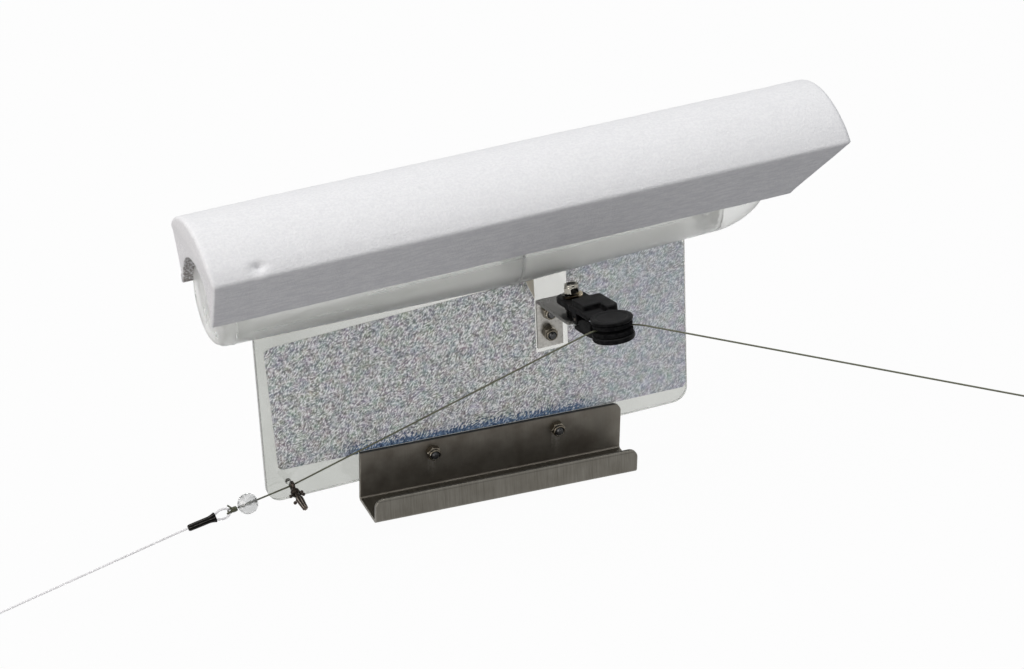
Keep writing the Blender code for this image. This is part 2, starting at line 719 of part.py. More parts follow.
def build_upper_jaw():
    """The clamped jaw: round-ended body, beam with its raised block, and the round paddle."""
    half = CLIP_HALF_WIDTH
    rear = rounded(
        (
            (-CLIP_REAR, -half, half * 0.7),
            (PIVOT_REACH - HUB_RADIUS - FIT, -half, 0),
            (PIVOT_REACH - HUB_RADIUS - FIT, half, 0),
            (-CLIP_REAR, half, half * 0.7),
        )
    )
    jaw = piece("upper_jaw", prism(rear, FIT, CLIP_BODY_TOP), "clip_plastic", clip)
    beam_end = PAD_REACH - PAD_RADIUS - FIT
    neck_end = PAD_REACH - JAW_DISC_RADIUS * 0.7
    for low, end in ((BEAM_UNDERSIDE, beam_end), (UPPER_DISC_LOW, neck_end)):
        beam = rounded(
            (
                (BLOCK_REAR - 2 * MM, -half, 0),
                (end, -half, 2 * MM),
                (end, half, 2 * MM),
                (BLOCK_REAR - 2 * MM, half, 0),
            )
        )
        fuse(jaw, prism(beam, low, BEAM_TOP + (end - beam_end) * BEAM_STEP_SHARE))
    block = rounded(
        (
            (BLOCK_REAR, -half + 0.9 * MM, 0.6 * MM),
            (BLOCK_FRONT, -half + 0.9 * MM, 0.6 * MM),
            (BLOCK_FRONT, NOSE_SIDE, 0.4 * MM),
            (NOSE_FRONT, NOSE_SIDE, 0.6 * MM),
            (NOSE_FRONT, half + 0.5 * MM, 1.4 * MM),
            (BLOCK_REAR, half + 0.5 * MM, 1.2 * MM),
        ),
        3,
    )
    fuse(jaw, prism(block, BEAM_UNDERSIDE + 0.5 * MM, BLOCK_TOP))
    fuse(jaw, prism(disc_outline(), UPPER_DISC_LOW, UPPER_DISC_LOW + JAW_DISC_THICKNESS))
    for side in (-1, 1):
        inner = side * (half - CHEEK_WALL)
        fuse(jaw, prism(cheek_outline(), min(inner, side * half), max(inner, side * half), "Y"))
    cut(jaw, rod(PIVOT_RADIUS + FIT, -2 * half, 2 * half, "Y"), (PIVOT_REACH, 0, PIVOT_HEIGHT))
    cut(jaw, rod(HOLE_RADIUS, -MM, CLIP_BODY_TOP + MM))


def build_lower_jaw():
    """The hinged jaw: forked knuckles on the pin, an arm and the round paddle."""
    inner = CLIP_HALF_WIDTH - CHEEK_WALL - FIT
    arm_top = PIVOT_HEIGHT - SPRING_RADIUS - SPRING_WIRE / 2 - FIT
    hub = arc((0, 0), HUB_RADIUS, 60, 300, 12)
    side_view = [
        *hub,
        (3.4 * MM, -4.6 * MM),
        (PAD_REACH - PIVOT_REACH - 12.5 * MM, -4.8 * MM),
        (PAD_REACH - PIVOT_REACH - 7 * MM, LOWER_DISC_HIGH - JAW_DISC_THICKNESS - PIVOT_HEIGHT),
        (PAD_REACH - PIVOT_REACH - 7 * MM, arm_top - PIVOT_HEIGHT),
        (HUB_RADIUS + 0.4 * MM, arm_top - PIVOT_HEIGHT),
    ]
    pivot = (PIVOT_REACH, 0, PIVOT_HEIGHT)
    jaw = piece("lower_jaw", prism(side_view, -inner, inner, "Y"), "clip_plastic", clip, pivot)
    fork = SPRING_PITCH * SPRING_TURNS / 2 + SPRING_WIRE / 2 + FIT
    slot = box((-4 * MM, HUB_RADIUS + 0.2 * MM), (-fork, fork), (-6 * MM, 4 * MM))
    disc = [(a - PIVOT_REACH, b) for a, b in disc_outline()]
    low = LOWER_DISC_HIGH - JAW_DISC_THICKNESS - PIVOT_HEIGHT
    fuse(jaw, prism(disc, low, low + JAW_DISC_THICKNESS), pivot)
    cut(jaw, slot, pivot)
    cut(jaw, rod(PIVOT_RADIUS + FIT, -2 * inner, 2 * inner, "Y"), pivot)


def pad_profile(low):
    edge = 0.35 * MM
    high = low + PAD_THICKNESS
    return (
        (0, low), (PAD_RADIUS - edge, low), (PAD_RADIUS, low + edge),
        (PAD_RADIUS, high - edge), (PAD_RADIUS - edge, high), (0, high),
    )  # fmt: skip


def build_pads_and_pin():
    """The two rubber pads, with room for the line between them, and the pivot pin."""
    centre = (PAD_REACH, 0, 0)
    upper = pad_profile(LINE_PLANE + LINE_DIAMETER / 2 + FIT)
    lower = pad_profile(LINE_PLANE - LINE_DIAMETER / 2 - FIT - PAD_THICKNESS)
    piece("upper_pad", turned(upper, steps=32), "rubber", clip, centre)
    piece("lower_pad", turned(lower, steps=32), "rubber", clip, centre)
    pin = rod(PIVOT_RADIUS, -CLIP_HALF_WIDTH, CLIP_HALF_WIDTH, "Y")
    piece("pivot_pin", pin, "bolt_steel", clip, (PIVOT_REACH, 0, PIVOT_HEIGHT))


def build_spring():
    """The coil spring on the pin: one wire from its upper leg through the coil to its lower leg."""
    steps = round(9 * SPRING_TURNS)
    half = SPRING_PITCH * SPRING_TURNS / 2
    beam_rest = BEAM_UNDERSIDE - FIT - SPRING_WIRE / 2 - PIVOT_HEIGHT
    points = [Vector((SPRING_LEG, -half, beam_rest)), Vector((SPRING_LEG / 2, -half, beam_rest))]
    for i in range(steps + 1):
        turn = math.pi / 2 + 2 * math.pi * SPRING_TURNS * i / steps
        drift = -half + 2 * half * i / steps
        points.append(Vector((SPRING_RADIUS * math.cos(turn), drift, SPRING_RADIUS * math.sin(turn))))
    points.append(Vector((SPRING_LEG, half, -SPRING_RADIUS)))
    spring = cord("jaw_spring", points, SPRING_WIRE, "bolt_steel", clip, 1)
    spring.location = (PIVOT_REACH, 0, PIVOT_HEIGHT)
    coil = points[2:-1]
    per_turn = round(steps / SPRING_TURNS)
    far = range(len(coil) - per_turn + 1)
    gap = min((coil[i] - p).length for i in far for p in coil[i + per_turn - 1 :]) - SPRING_WIRE
    print(f"least gap between the spring's turns: {gap / MM:.2f} mm")


def build_clip_fasteners():
    """The bolt up through the flange and the clip, with its brass washer and lock nut."""
    head = -SHEET - FIT
    washer = CLIP_BODY_TOP + FIT
    nut = washer + WASHER_THICKNESS + FIT
    add_bolt("clip_bolt", nut - head, clip, Matrix.Translation((0, 0, head)))
    add_nut("clip_nut", clip, Matrix.Translation((0, 0, nut)))
    ring = (
        (HOLE_RADIUS, 0), (WASHER_RADIUS, 0),
        (WASHER_RADIUS, WASHER_THICKNESS), (HOLE_RADIUS, WASHER_THICKNESS),
    )  # fmt: skip
    piece("brass_washer", turned(ring), "brass", clip, (0, 0, washer))


def build_corner_hardware():
    """The eyed stud through the keel's corner and the snap that spins on its front end."""
    along = facing_front(STUD_STATION, STUD_HEIGHT, 0)
    ball_centre = -PLATE_FACE - FIT - STUD_BALL
    ball = arc((0, ball_centre), STUD_BALL, -90, 62, 10)
    ball[0] = (0, ball_centre - STUD_BALL)
    shank_end = EYE_DEPTH - EYE_RADIUS + 0.2 * MM
    stud = [*ball, (STUD_RADIUS, shank_end), (0, shank_end)]
    stud = piece("corner_stud", turned(stud, steps=16), "dark_nickel", board, along)
    eye = [(EYE_RADIUS + a, b) for a, b in arc((0, 0), EYE_WIRE, 0, 315, 7)]
    eye_place = Matrix.Translation((STUD_STATION, -EYE_DEPTH, STUD_HEIGHT + EYE_LIFT))
    fuse(stud, turned(eye, "X", 24), eye_place)
    pin_start = EYE_DEPTH + EYE_RADIUS - 0.5 * MM
    head = BARREL_FRONT - 0.5 * MM
    cavity = head - 1.2 * MM
    head_radius = STUD_RADIUS + 0.5 * MM
    pin = [(0, pin_start), (STUD_RADIUS, pin_start), (STUD_RADIUS, cavity + FIT)]
    pin += [(head_radius, cavity + FIT), (head_radius, head - FIT), (0, head - FIT)]
    fuse(stud, turned(pin, steps=16), along)

    barrel_rear = EYE_DEPTH + EYE_RADIUS + EYE_WIRE + FIT
    neck = STUD_RADIUS + FIT
    room = head_radius + FIT
    outer = room + 0.4 * MM
    boss_end = BARREL_FRONT + 3.9 * MM
    tenon = boss_end + 2 * MM
    barrel = (
        (neck, barrel_rear), (outer - 0.4 * MM, barrel_rear), (outer, barrel_rear + 0.4 * MM),
        (outer, BARREL_FRONT - 0.1 * MM), (BOSS_RADIUS, BARREL_FRONT + 0.3 * MM),
        (BOSS_RADIUS, boss_end), (STUD_RADIUS, boss_end), (STUD_RADIUS, tenon), (0, tenon),
        (0, head), (room, head), (room, cavity), (neck, cavity),
    )  # fmt: skip
    shell = piece("swivel_barrel", turned(barrel, steps=20), "dark_nickel", board, along)
    tilts = {"snap_wire_long": math.radians(55), "snap_wire_short": math.radians(-5)}
    for number, (name, tilt) in enumerate(tilts.items()):
        depth = BARREL_FRONT + (2.9 - 1.7 * number) * MM
        place = along @ Matrix.Translation((0, 0, depth)) @ Matrix.Rotation(tilt, 4, "Z")
        cut(shell, rod(SNAP_WIRE_RADIUS + FIT, -3 * MM, 3 * MM, "X", 12), place)
        knob = SNAP_WIRE_HALF
        wire = [(SNAP_KNOB_RADIUS * math.cos(a), SNAP_KNOB_RADIUS * math.sin(a)) for a in (-0.7, 0, 0.7)]
        profile = [(0, -knob - SNAP_KNOB_RADIUS)]
        profile += [(r, h - knob) for r, h in wire]
        profile += [(SNAP_WIRE_RADIUS, -knob + 0.7 * MM), (SNAP_WIRE_RADIUS, knob - 0.7 * MM)]
        profile += [(r, h + knob) for r, h in wire]
        profile += [(0, knob + SNAP_KNOB_RADIUS)]
        piece(name, turned(profile, "X", 12), "dark_nickel", board, place)

    clasp_start = boss_end + FIT
    bore = STUD_RADIUS + FIT
    rings = [clasp_ring(bore, bore, clasp_start + 2.1 * MM)]
    rings.append(clasp_ring(bore, bore, clasp_start))
    for share in (0, 0.5, 1):
        reach = CLASP_RADIUS - CLASP_TAPER * share
        rings.append(clasp_ring(reach, reach * 0.8, clasp_start + CLASP_LENGTH * share))
    piece("snap_clasp", lofted(rings), "dark_nickel", board, along)


def clasp_ring(ridge, groove, height):
    """A ring of the ribbed clasp, whose ridges and grooves follow a cosine."""
    ring = []
    for i in range(32):
        angle = 2 * math.pi * i / 32
        reach = groove + (ridge - groove) * (0.5 + 0.5 * math.cos(CLASP_RIDGES * angle))
        ring.append((reach * math.cos(angle), reach * math.sin(angle), height))
    return ring


def clip_point(u, v, w=LINE_PLANE):
    """A point of the clip's frame in the board's frame."""
    side = flange_up.cross(clip_out)
    return clip_foot + clip_out * u + side * v + flange_up * w


def line_routes():
    """The two runs of the main line, which part between the pads."""
    pad = PAD_REACH
    rod_end = Vector((275.5 * MM, -179.9 * MM, 83.5 * MM))
    to_rod = [
        clip_point(pad + 0.1 * MM, 0.15 * MM),
        clip_point(pad + 0.9 * MM, 2.8 * MM),
        clip_point(pad + 2.2 * MM, 5.6 * MM),
        clip_point(pad + 4.2 * MM, 8.2 * MM),
        clip_point(pad + 6.6 * MM, 10.6 * MM, LINE_PLANE - 0.25 * MM),
    ]
    leave = to_rod[-1]
    to_rod += [leave.lerp(rod_end, share) for share in (0.03, 0.3, 0.65, 1)]
    pad_exit = clip_point(pad, -8.8 * MM)
    to_lure = [
        clip_point(pad, -0.15 * MM),
        clip_point(pad, -4.5 * MM),
        pad_exit,
        clip_point(pad - 0.7 * MM, -10.2 * MM, LINE_PLANE - 0.5 * MM),
    ]
    leave = to_lure[-1]
    to_lure += [leave.lerp(RING_POINT, share) for share in (0.02, 0.35, 0.7, 0.985)]
    to_lure += [RING_POINT, RING_POINT + tackle_out * 2 * MM]
    to_lure += [RING_POINT + tackle_out * 12 * MM, RING_POINT + tackle_out * LINE_END]
    return to_rod, to_lure


KNOT_REACH = BEAD_TRAVEL_REACH + BEAD_RADIUS + 0.5 * MM
LINE_END = KNOT_REACH - FIT


def build_tackle():
    """The lines, the bead that slides on them, the knot, the loop, the sleeve and the leader."""
    to_rod, to_lure = line_routes()
    cord("line_to_rod", smooth_route(to_rod, 2.2 * MM), LINE_DIAMETER, "line", board)
    cord("line_to_lure", smooth_route(to_lure, 2.5 * MM), LINE_DIAMETER, "line", board)
    bore = LINE_DIAMETER / 2 + FIT
    open_angle = math.degrees(math.asin(bore / BEAD_RADIUS))
    ball = arc((0, 0), BEAD_RADIUS, open_angle - 90, 90 - open_angle, 16)
    bead = [(r, h + BEAD_TRAVEL_REACH) for r, h in ball]
    piece("stop_bead", turned(bead, steps=28), "bead", tackle)

    barrel = KNOT_REACH + KNOT_LENGTH
    waist = KNOT_RADIUS * 0.6
    knot = [(0, KNOT_REACH), (waist, KNOT_REACH), (KNOT_RADIUS, KNOT_REACH + 0.6 * MM)]
    knot += [(KNOT_RADIUS, barrel - 0.6 * MM), (waist, barrel), (0, barrel)]
    knot = piece("line_knot", turned(knot, steps=12), "line", tackle)
    eye_centre = barrel + 0.9 * MM
    eye_wire = 0.3 * MM
    eye = [(1.15 * MM + a, b) for a, b in arc((0, 0), eye_wire, 0, 315, 7)]
    fuse(knot, turned(eye, "X", 16), (0, 0, eye_centre))
    for tilt, length in KNOT_TAGS:
        lean = Matrix.Rotation(math.radians(tilt), 4, "Y")
        tag = Matrix.Translation((0, 0, KNOT_REACH + KNOT_LENGTH / 2)) @ lean
        fuse(knot, rod(LINE_DIAMETER / 2, 0, length, "Z", 8), tag)

    tip = eye_centre + 0.3 * MM
    mouth = SLEEVE_REACH + MM
    reach = mouth - tip
    outline = ((1, 0.3), (0.72, 0.78), (0.4, 1), (0.13, 0.72))
    side = [(share * LOOP_HALF_WIDTH, 0, tip + along * reach) for along, share in outline]
    route = [*side, (0, 0, tip), *[(-x, y, z) for x, y, z in reversed(side)]]
    cord("leader_loop", smooth_route(route, 0.7 * MM), LOOP_DIAMETER, "leader", tackle)

    end = SLEEVE_REACH + SLEEVE_LENGTH
    seat = mouth + FIT
    sleeve = (
        (0, seat), (SLEEVE_FLARE - 0.85 * MM, seat), (SLEEVE_FLARE - 0.5 * MM, SLEEVE_REACH),
        (SLEEVE_FLARE, SLEEVE_REACH), (SLEEVE_RADIUS, SLEEVE_REACH + 3.2 * MM),
        (SLEEVE_RADIUS * 0.95, end - 0.6 * MM), (SLEEVE_RADIUS * 0.7, end), (0, end),
    )  # fmt: skip
    piece("crimp_sleeve", turned(sleeve, steps=20), "sleeve", tackle)

    start = RING_POINT + tackle_out * (end + FIT)
    far = Vector((-102 * MM, -25.2 * MM, -4 * MM))
    bend = start + tackle_out * 2 * MM
    route = [start, bend, *[bend.lerp(far, share) for share in (0.08, 0.4, 0.7, 1)]]
    cord("leader", smooth_route(route, 2 * MM), LEADER_DIAMETER, "leader", board)
    end_knot("leader_end_knot", route[-2], far, "leader")
    end_knot("rod_end_knot", to_rod[-2], to_rod[-1], "line")


def end_knot(name, before, end, material):
    """A small knot just past the end of a cord that runs from before to end."""
    along = (end - before).normalized()
    middle = end + along * (FIT + END_KNOT_RADIUS * 1.3)
    ball = [(0, -END_KNOT_RADIUS * 1.3), (END_KNOT_RADIUS * 0.6, -END_KNOT_RADIUS * 1.3)]
    ball += arc((0, 0), END_KNOT_RADIUS, -50, 50, 5)
    ball += [(END_KNOT_RADIUS * 0.6, END_KNOT_RADIUS * 1.3), (0, END_KNOT_RADIUS * 1.3)]
    turn = along.to_track_quat("Z", "Y").to_matrix().to_4x4()
    piece(name, turned(ball, steps=12), material, board, Matrix.Translation(middle) @ turn)


build_foam()
build_hull()
build_plate()
build_film()
build_channel()
build_plate_fasteners()
build_bracket()
build_upper_jaw()
build_lower_jaw()
build_pads_and_pin()
build_spring()
build_clip_fasteners()
build_corner_hardware()
build_tackle()
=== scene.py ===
"""Looks of the planer board: fine surfaces, finishes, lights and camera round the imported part.

Metres, +Z up, +X to the bow and -Y to the release clip. Most shapes are written in the board's
own axes, from the foam's stern face, the keel's middle plane and the keel's lower edge.
"""

import math

import bmesh
import bpy
import numpy as np
from mathutils import Matrix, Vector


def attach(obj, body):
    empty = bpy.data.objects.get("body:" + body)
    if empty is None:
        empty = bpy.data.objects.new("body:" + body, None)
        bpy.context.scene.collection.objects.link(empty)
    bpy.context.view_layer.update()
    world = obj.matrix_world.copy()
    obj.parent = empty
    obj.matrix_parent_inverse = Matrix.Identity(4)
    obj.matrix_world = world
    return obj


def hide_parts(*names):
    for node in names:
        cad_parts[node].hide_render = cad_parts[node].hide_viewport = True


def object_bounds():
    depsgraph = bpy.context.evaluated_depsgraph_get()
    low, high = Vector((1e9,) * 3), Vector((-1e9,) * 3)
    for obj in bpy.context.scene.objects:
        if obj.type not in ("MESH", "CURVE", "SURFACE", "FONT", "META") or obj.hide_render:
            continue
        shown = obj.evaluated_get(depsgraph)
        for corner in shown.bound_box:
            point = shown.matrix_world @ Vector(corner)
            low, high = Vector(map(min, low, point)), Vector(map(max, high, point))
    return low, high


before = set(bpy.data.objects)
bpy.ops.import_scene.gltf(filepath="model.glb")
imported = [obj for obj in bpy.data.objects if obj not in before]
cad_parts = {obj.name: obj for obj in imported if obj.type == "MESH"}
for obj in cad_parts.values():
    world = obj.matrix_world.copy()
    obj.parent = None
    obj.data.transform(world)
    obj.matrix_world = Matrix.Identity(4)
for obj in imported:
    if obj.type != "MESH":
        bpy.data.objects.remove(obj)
cad_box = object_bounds()

MM = 0.001
GAP = 0.3 * MM

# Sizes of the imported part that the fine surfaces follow
FOAM_LENGTH = 270 * MM
FOAM_HALF_SHOULDER = 28 * MM
FOAM_HALF_FOOT = 19.5 * MM
FOAM_SHOULDER_HEIGHT = 22 * MM
FOAM_ARCH_RISE = 12.3 * MM
FOAM_RAKE = 22.5 * MM
HULL_RADIUS = 18.3 * MM
HULL_WALL = 1.5 * MM
HULL_AXIS = 98.9 * MM
HULL_BELLY = 3.2 * MM
HULL_STERN = 3 * MM
STERN_CAP_LENGTH = 8 * MM
SEAM_STATION = 130 * MM
SEAM_THICKNESS = 1.4 * MM
BOW_CAP_STATION = 218 * MM
BOW_CAP_LENGTH = 27 * MM
SPIGOT = 5 * MM
PLATE_STATION = 21.2 * MM
PLATE_END = 207.9 * MM
PLATE_HEIGHT = 84 * MM
PLATE_FACE = 1.5 * MM
PLATE_CORNER = 6.5 * MM
FILM_THICKNESS = 0.2 * MM
SHEET = 1.5 * MM
CHANNEL_HALF = 58 * MM
CHANNEL_DEPTH = 20.2 * MM
CHANNEL_BACK = 23.2 * MM
CHANNEL_LIP = 11.3 * MM
CHANNEL_STATION = 117.6 * MM
CHANNEL_DROP = 12 * MM
CHANNEL_TILT = math.radians(3.4)
CHANNEL_BEND = 1.7 * MM
CHANNEL_CORNER = 4 * MM
CHANNEL_BOLT_STATIONS = (-26.6 * MM, 28.6 * MM)
CHANNEL_BOLT_HEIGHT = 17.8 * MM
BOLT_RADIUS = 1.5 * MM
NUT_FLATS = 5.5 * MM
NUT_HEIGHT = 4 * MM
INSERT_RADIUS = 1.98 * MM
INSERT_HEIGHT = 0.8 * MM
BRACKET_STATION = 140.75 * MM
BRACKET_BOLT_STATION = 145.6 * MM
BRACKET_BOLT_HEIGHTS = (51 * MM, 61 * MM)
LEG_WIDTH = 11.25 * MM
LEG_FOOT = 43.6 * MM
FLANGE_WIDTH = 15.6 * MM
FLANGE_ROOT = 66.7 * MM
FLANGE_REACH = 34.5 * MM
FLANGE_RISE = math.radians(13.4)
CLIP_TURN = math.radians(1.9)
CLIP_HALF = 6.5 * MM
BEAM_HEIGHT = 4.5 * MM
PAD_REACH = 38.7 * MM
PAD_RADIUS = 8.1 * MM
PAD_THICKNESS = 1.7 * MM
DISC_RADIUS = 8.5 * MM
DISC_THICKNESS = 2.3 * MM
LINE_PLANE = 3.1 * MM
PIVOT_REACH = 15.2 * MM
PIVOT_HEIGHT = 1.6 * MM
HUB_RADIUS = 2.4 * MM
WASHER_SEAT = 6 * MM
STUD_STATION = 31.2 * MM
STUD_HEIGHT = 6.4 * MM
LINE_DIAMETER = 0.7 * MM
THREAD_DIAMETER = 0.8 * MM
BEAD_RADIUS = 4.3 * MM
BEAD_REACH = 19.6 * MM
SLEEVE_REACH = 33.9 * MM
SLEEVE_LENGTH = 12 * MM

BACK_FACE = -PLATE_FACE - GAP
FRONT_FACE = BACK_FACE - SHEET
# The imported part's origin in the board's axes, and the height of the hull's axis over it
ORIGIN = np.array([CHANNEL_STATION, BACK_FACE - CHANNEL_DEPTH / 2, -CHANNEL_DROP])
HULL_HEIGHT = HULL_AXIS + CHANNEL_DROP


# Frames: 4x4 matrices whose columns are the axes and the origin of a piece's own coordinates
def axes_at(origin, x, z):
    """The frame with these X and Z directions; Y is Z cross X."""
    made = np.eye(4)
    made[:3, 0] = x
    made[:3, 1] = np.cross(z, x)
    made[:3, 2] = z
    made[:3, 3] = origin
    return made


def unit(vector):
    return np.asarray(vector) / np.linalg.norm(vector)


def matrix_of(place):
    return Matrix(place.tolist())


def facing_front(x, z, y=0.0):
    """The frame at a point of the board whose X runs to the bow, Y up and Z to the front."""
    return axes_at(np.array([x, y, z]) - ORIGIN, (1, 0, 0), (0, -1, 0))


def moved(x, y, z):
    """The frame at a point, with no turn."""
    return axes_at((x, y, z), (1, 0, 0), (0, 0, 1))


def placed(points, place):
    return points @ place[:3, :3].T + place[:3, 3]


ACROSS = axes_at((0, 0, 0), (1, 0, 0), (0, -1, 0))
BOARD = moved(*-ORIGIN)
FACE = facing_front(0, 0)
CHANNEL = axes_at(
    (0, 0, 0),
    (math.cos(CHANNEL_TILT), 0, -math.sin(CHANNEL_TILT)),
    (math.sin(CHANNEL_TILT), 0, math.cos(CHANNEL_TILT)),
)
FLANGE_OUT = np.array([0, -math.cos(FLANGE_RISE), math.sin(FLANGE_RISE)])
FLANGE_UP = np.array([0, math.sin(FLANGE_RISE), math.cos(FLANGE_RISE)])
CLIP_FOOT = np.array([BRACKET_STATION + FLANGE_WIDTH / 2, FRONT_FACE, FLANGE_ROOT])
CLIP_FOOT = CLIP_FOOT + FLANGE_OUT * 22.6 * MM
CLIP_OUT = FLANGE_OUT * math.cos(CLIP_TURN) + np.array([math.sin(CLIP_TURN), 0, 0])
CLIP = axes_at(CLIP_FOOT - ORIGIN, CLIP_OUT, FLANGE_UP)
RING_POINT = np.array([STUD_STATION, -3.8 * MM, 7.7 * MM])
TACKLE_OUT = unit(np.array([-14.1, -5, 0.3]) * MM - RING_POINT)
TACKLE_SIDE = unit(np.cross((0, -0.84, 0.54), TACKLE_OUT))
TACKLE = axes_at(RING_POINT - ORIGIN, TACKLE_SIDE, TACKLE_OUT)


# Outlines and paths, all as arrays of points
def arc(centre, radius, start, end, count):
    """Points centre + radius (cos a, sin a), a running evenly from start to end degrees."""
    a = np.radians(np.linspace(start, end, count))
    return np.stack([centre[0] + radius * np.cos(a), centre[1] + radius * np.sin(a)], -1)


def rounded(corners, count=8, closed=True):
    """An outline through (a, b, radius) corners: each is the arc that touches both its sides."""
    spots = np.array([c[:2] for c in corners], float)
    parts = []
    for i, (_, _, radius) in enumerate(corners):
        here = spots[i]
        if radius == 0 or (not closed and i in (0, len(corners) - 1)):
            parts.append(here[None])
            continue
        back = unit(spots[i - 1] - here)
        ahead = unit(spots[(i + 1) % len(spots)] - here)
        half = math.acos(np.clip(back @ ahead, -1, 1)) / 2
        middle = here + unit(back + ahead) * radius / math.sin(half)
        first = here + back * radius / math.tan(half) - middle
        last = here + ahead * radius / math.tan(half) - middle
        turn = math.atan2(first[0] * last[1] - first[1] * last[0], first @ last)
        a = turn * np.linspace(0, 1, count)
        spin = np.array([[np.cos(a), -np.sin(a)], [np.sin(a), np.cos(a)]])
        parts.append(middle + np.einsum("ijk,j->ki", spin, first))
    return np.concatenate(parts)


def resampled(points, count):
    """The same open line with count points evenly along it."""
    along = np.append(0, np.cumsum(np.linalg.norm(np.diff(points, axis=0), axis=1)))
    at = np.linspace(0, along[-1], count)
    return np.stack([np.interp(at, along, column) for column in points.T], -1)


def inset(outline, distance):
    """A closed outline moved inward by a distance along its normals."""
    run = np.roll(outline, -1, 0) - np.roll(outline, 1, 0)
    normal = np.stack([run[:, 1], -run[:, 0]], -1)
    normal /= np.maximum(np.linalg.norm(normal, axis=1), 1e-12)[:, None]
    x, y = outline.T
    if (x * np.roll(y, -1) - y * np.roll(x, -1)).sum() < 0:
        normal = -normal
    return outline - normal * np.reshape(distance, (-1, 1))


def smooth_route(route, spacing):
    """Points of the centripetal Catmull-Rom curve through the route, about one per spacing."""
    route = np.asarray(route, float)
    ends = np.concatenate([2 * route[:1] - route[1:2], route, 2 * route[-1:] - route[-2:-1]])
    points = [route[:1]]
    for p0, p1, p2, p3 in zip(ends, ends[1:], ends[2:], ends[3:]):
        d1, d2, d3 = (np.linalg.norm(b - a) ** 0.5 for a, b in ((p0, p1), (p1, p2), (p2, p3)))
        m1 = (p2 - p1) + d2 * ((p1 - p0) / d1 - (p2 - p0) / (d1 + d2))
        m2 = (p2 - p1) + d2 * ((p3 - p2) / d3 - (p3 - p1) / (d2 + d3))
        count = max(1, round(np.linalg.norm(p2 - p1) / spacing))
        t = (np.arange(1, count + 1) / count)[:, None]
        bend = p1 * (2 * t**3 - 3 * t**2 + 1) + m1 * (t**3 - 2 * t**2 + t)
        points.append(bend + p2 * (3 * t**2 - 2 * t**3) + m2 * (t**3 - t**2))
    return np.concatenate(points)


# Surfaces: rings of points (rows x columns x 3), and the skins that they make
def circle(steps):
    """Angles once round, without the last, which is the first again."""
    return np.linspace(0, 2 * np.pi, steps, endpoint=False)


def surface(x, y, z):
    """A grid of points from its three coordinates, each given for the rows, the columns or both."""
    return np.stack(np.broadcast_arrays(x, y, z), -1)


def turned(profile, steps=64):
    """Each (radius, height) of the profile becomes the circle radius (cos a, sin a) there."""
    radius, height = np.asarray(profile, float).T[..., None]
    a = circle(steps)
    return surface(radius * np.cos(a), radius * np.sin(a), height)


def tube(path, radius, sides=12, up=(0, 0, 1)):
    """Each point of the path becomes a circle of the radius, square to the path's direction."""
    run = np.gradient(np.asarray(path), axis=0)
    run /= np.linalg.norm(run, axis=1)[:, None]
    side = np.cross(run, up)
    side /= np.linalg.norm(side, axis=1)[:, None]
    over = np.cross(side, run)
    a = circle(sides)[None, :, None]
    reach = np.reshape(np.broadcast_to(radius, len(path)), (-1, 1, 1))
    return path[:, None] + reach * (np.cos(a) * side[:, None] + np.sin(a) * over[:, None])


def slab(outline, low, high, edge=0.3 * MM, steps=4):
    """An outline carried from low to high, drawn in along a quarter circle at both edges."""
    a = np.radians(np.linspace(0, 90, steps))
    cut, rise = edge * (1 - np.sin(a)), edge * (1 - np.cos(a))
    cut, height = np.append(cut, cut[::-1]), np.append(low + rise, high - rise[::-1])
    rows = np.stack([inset(outline, distance) for distance in cut])
    return surface(rows[..., 0], rows[..., 1], height[:, None])


def skin(rings, ends=True, loop=False, open_columns=False):
    """Points, faces and UVs of rings: quads between neighbours and a flat face at each end.

    U runs round a ring from 0 to 1 and V along the rings in metres. A loop joins the last
    ring to the first, and open columns leave each ring's last point apart from its first.
    """
    rows, columns = rings.shape[:2]
    index = np.arange(rows * columns).reshape(rows, columns)
    low, high = (index, np.roll(index, -1, 0)) if loop else (index[:-1], index[1:])
    quads = np.stack([low, np.roll(low, -1, 1), np.roll(high, -1, 1), high], -1)
    along = np.append(0, np.cumsum(np.linalg.norm(np.diff(rings.mean(1), axis=0), axis=1)))
    if loop:
        along = np.append(along, along[-1])
    u = np.arange(columns + 1) / columns
    left, bottom = np.meshgrid(u[:-1], along[: len(low)])
    right, top = np.meshgrid(u[1:], along[1 : len(low) + 1])
    uv = np.stack([left, bottom, right, bottom, right, top, left, top], -1)
    if open_columns:
        quads, uv = quads[:, :-1], uv[:, :-1]
    faces, uv = quads.reshape(-1, 4).tolist(), uv.reshape(-1, 2)
    capped = ends and not loop and not open_columns
    for ring in (index[0][::-1], index[-1]) if capped else ():
        if np.ptp(rings.reshape(-1, 3)[ring], axis=0).max() > 1e-7:
            faces.append(ring.tolist())
            uv = np.concatenate([uv, np.zeros((columns, 2))])
    return rings.reshape(-1, 3), faces, uv


def mesh_of(name, skins, place):
    """One mesh from skins in the frame `place`, its seams merged and its faces turned outward."""
    points, faces, uvs, count = [], [], [], 0
    for spots, sides, uv in skins:
        points.append(placed(spots, place))
        faces += [[i + count for i in side] for side in sides]
        uvs.append(uv)
        count += len(spots)
    mesh = bpy.data.meshes.new(name)
    mesh.from_pydata(np.concatenate(points).tolist(), [], faces)
    layer = mesh.uv_layers.new(name="UVMap")
    layer.data.foreach_set("uv", np.concatenate(uvs).astype(np.float32).ravel())
    work = bmesh.new()
    work.from_mesh(mesh)
    bmesh.ops.remove_doubles(work, verts=work.verts, dist=0.5e-6)
    bmesh.ops.recalc_face_normals(work, faces=work.faces)
    work.to_mesh(mesh)
    work.free()
    return mesh


def loose_object(name, skins, place):
    obj = bpy.data.objects.new(name, mesh_of(name, skins, place))
    bpy.context.collection.objects.link(obj)
    return obj


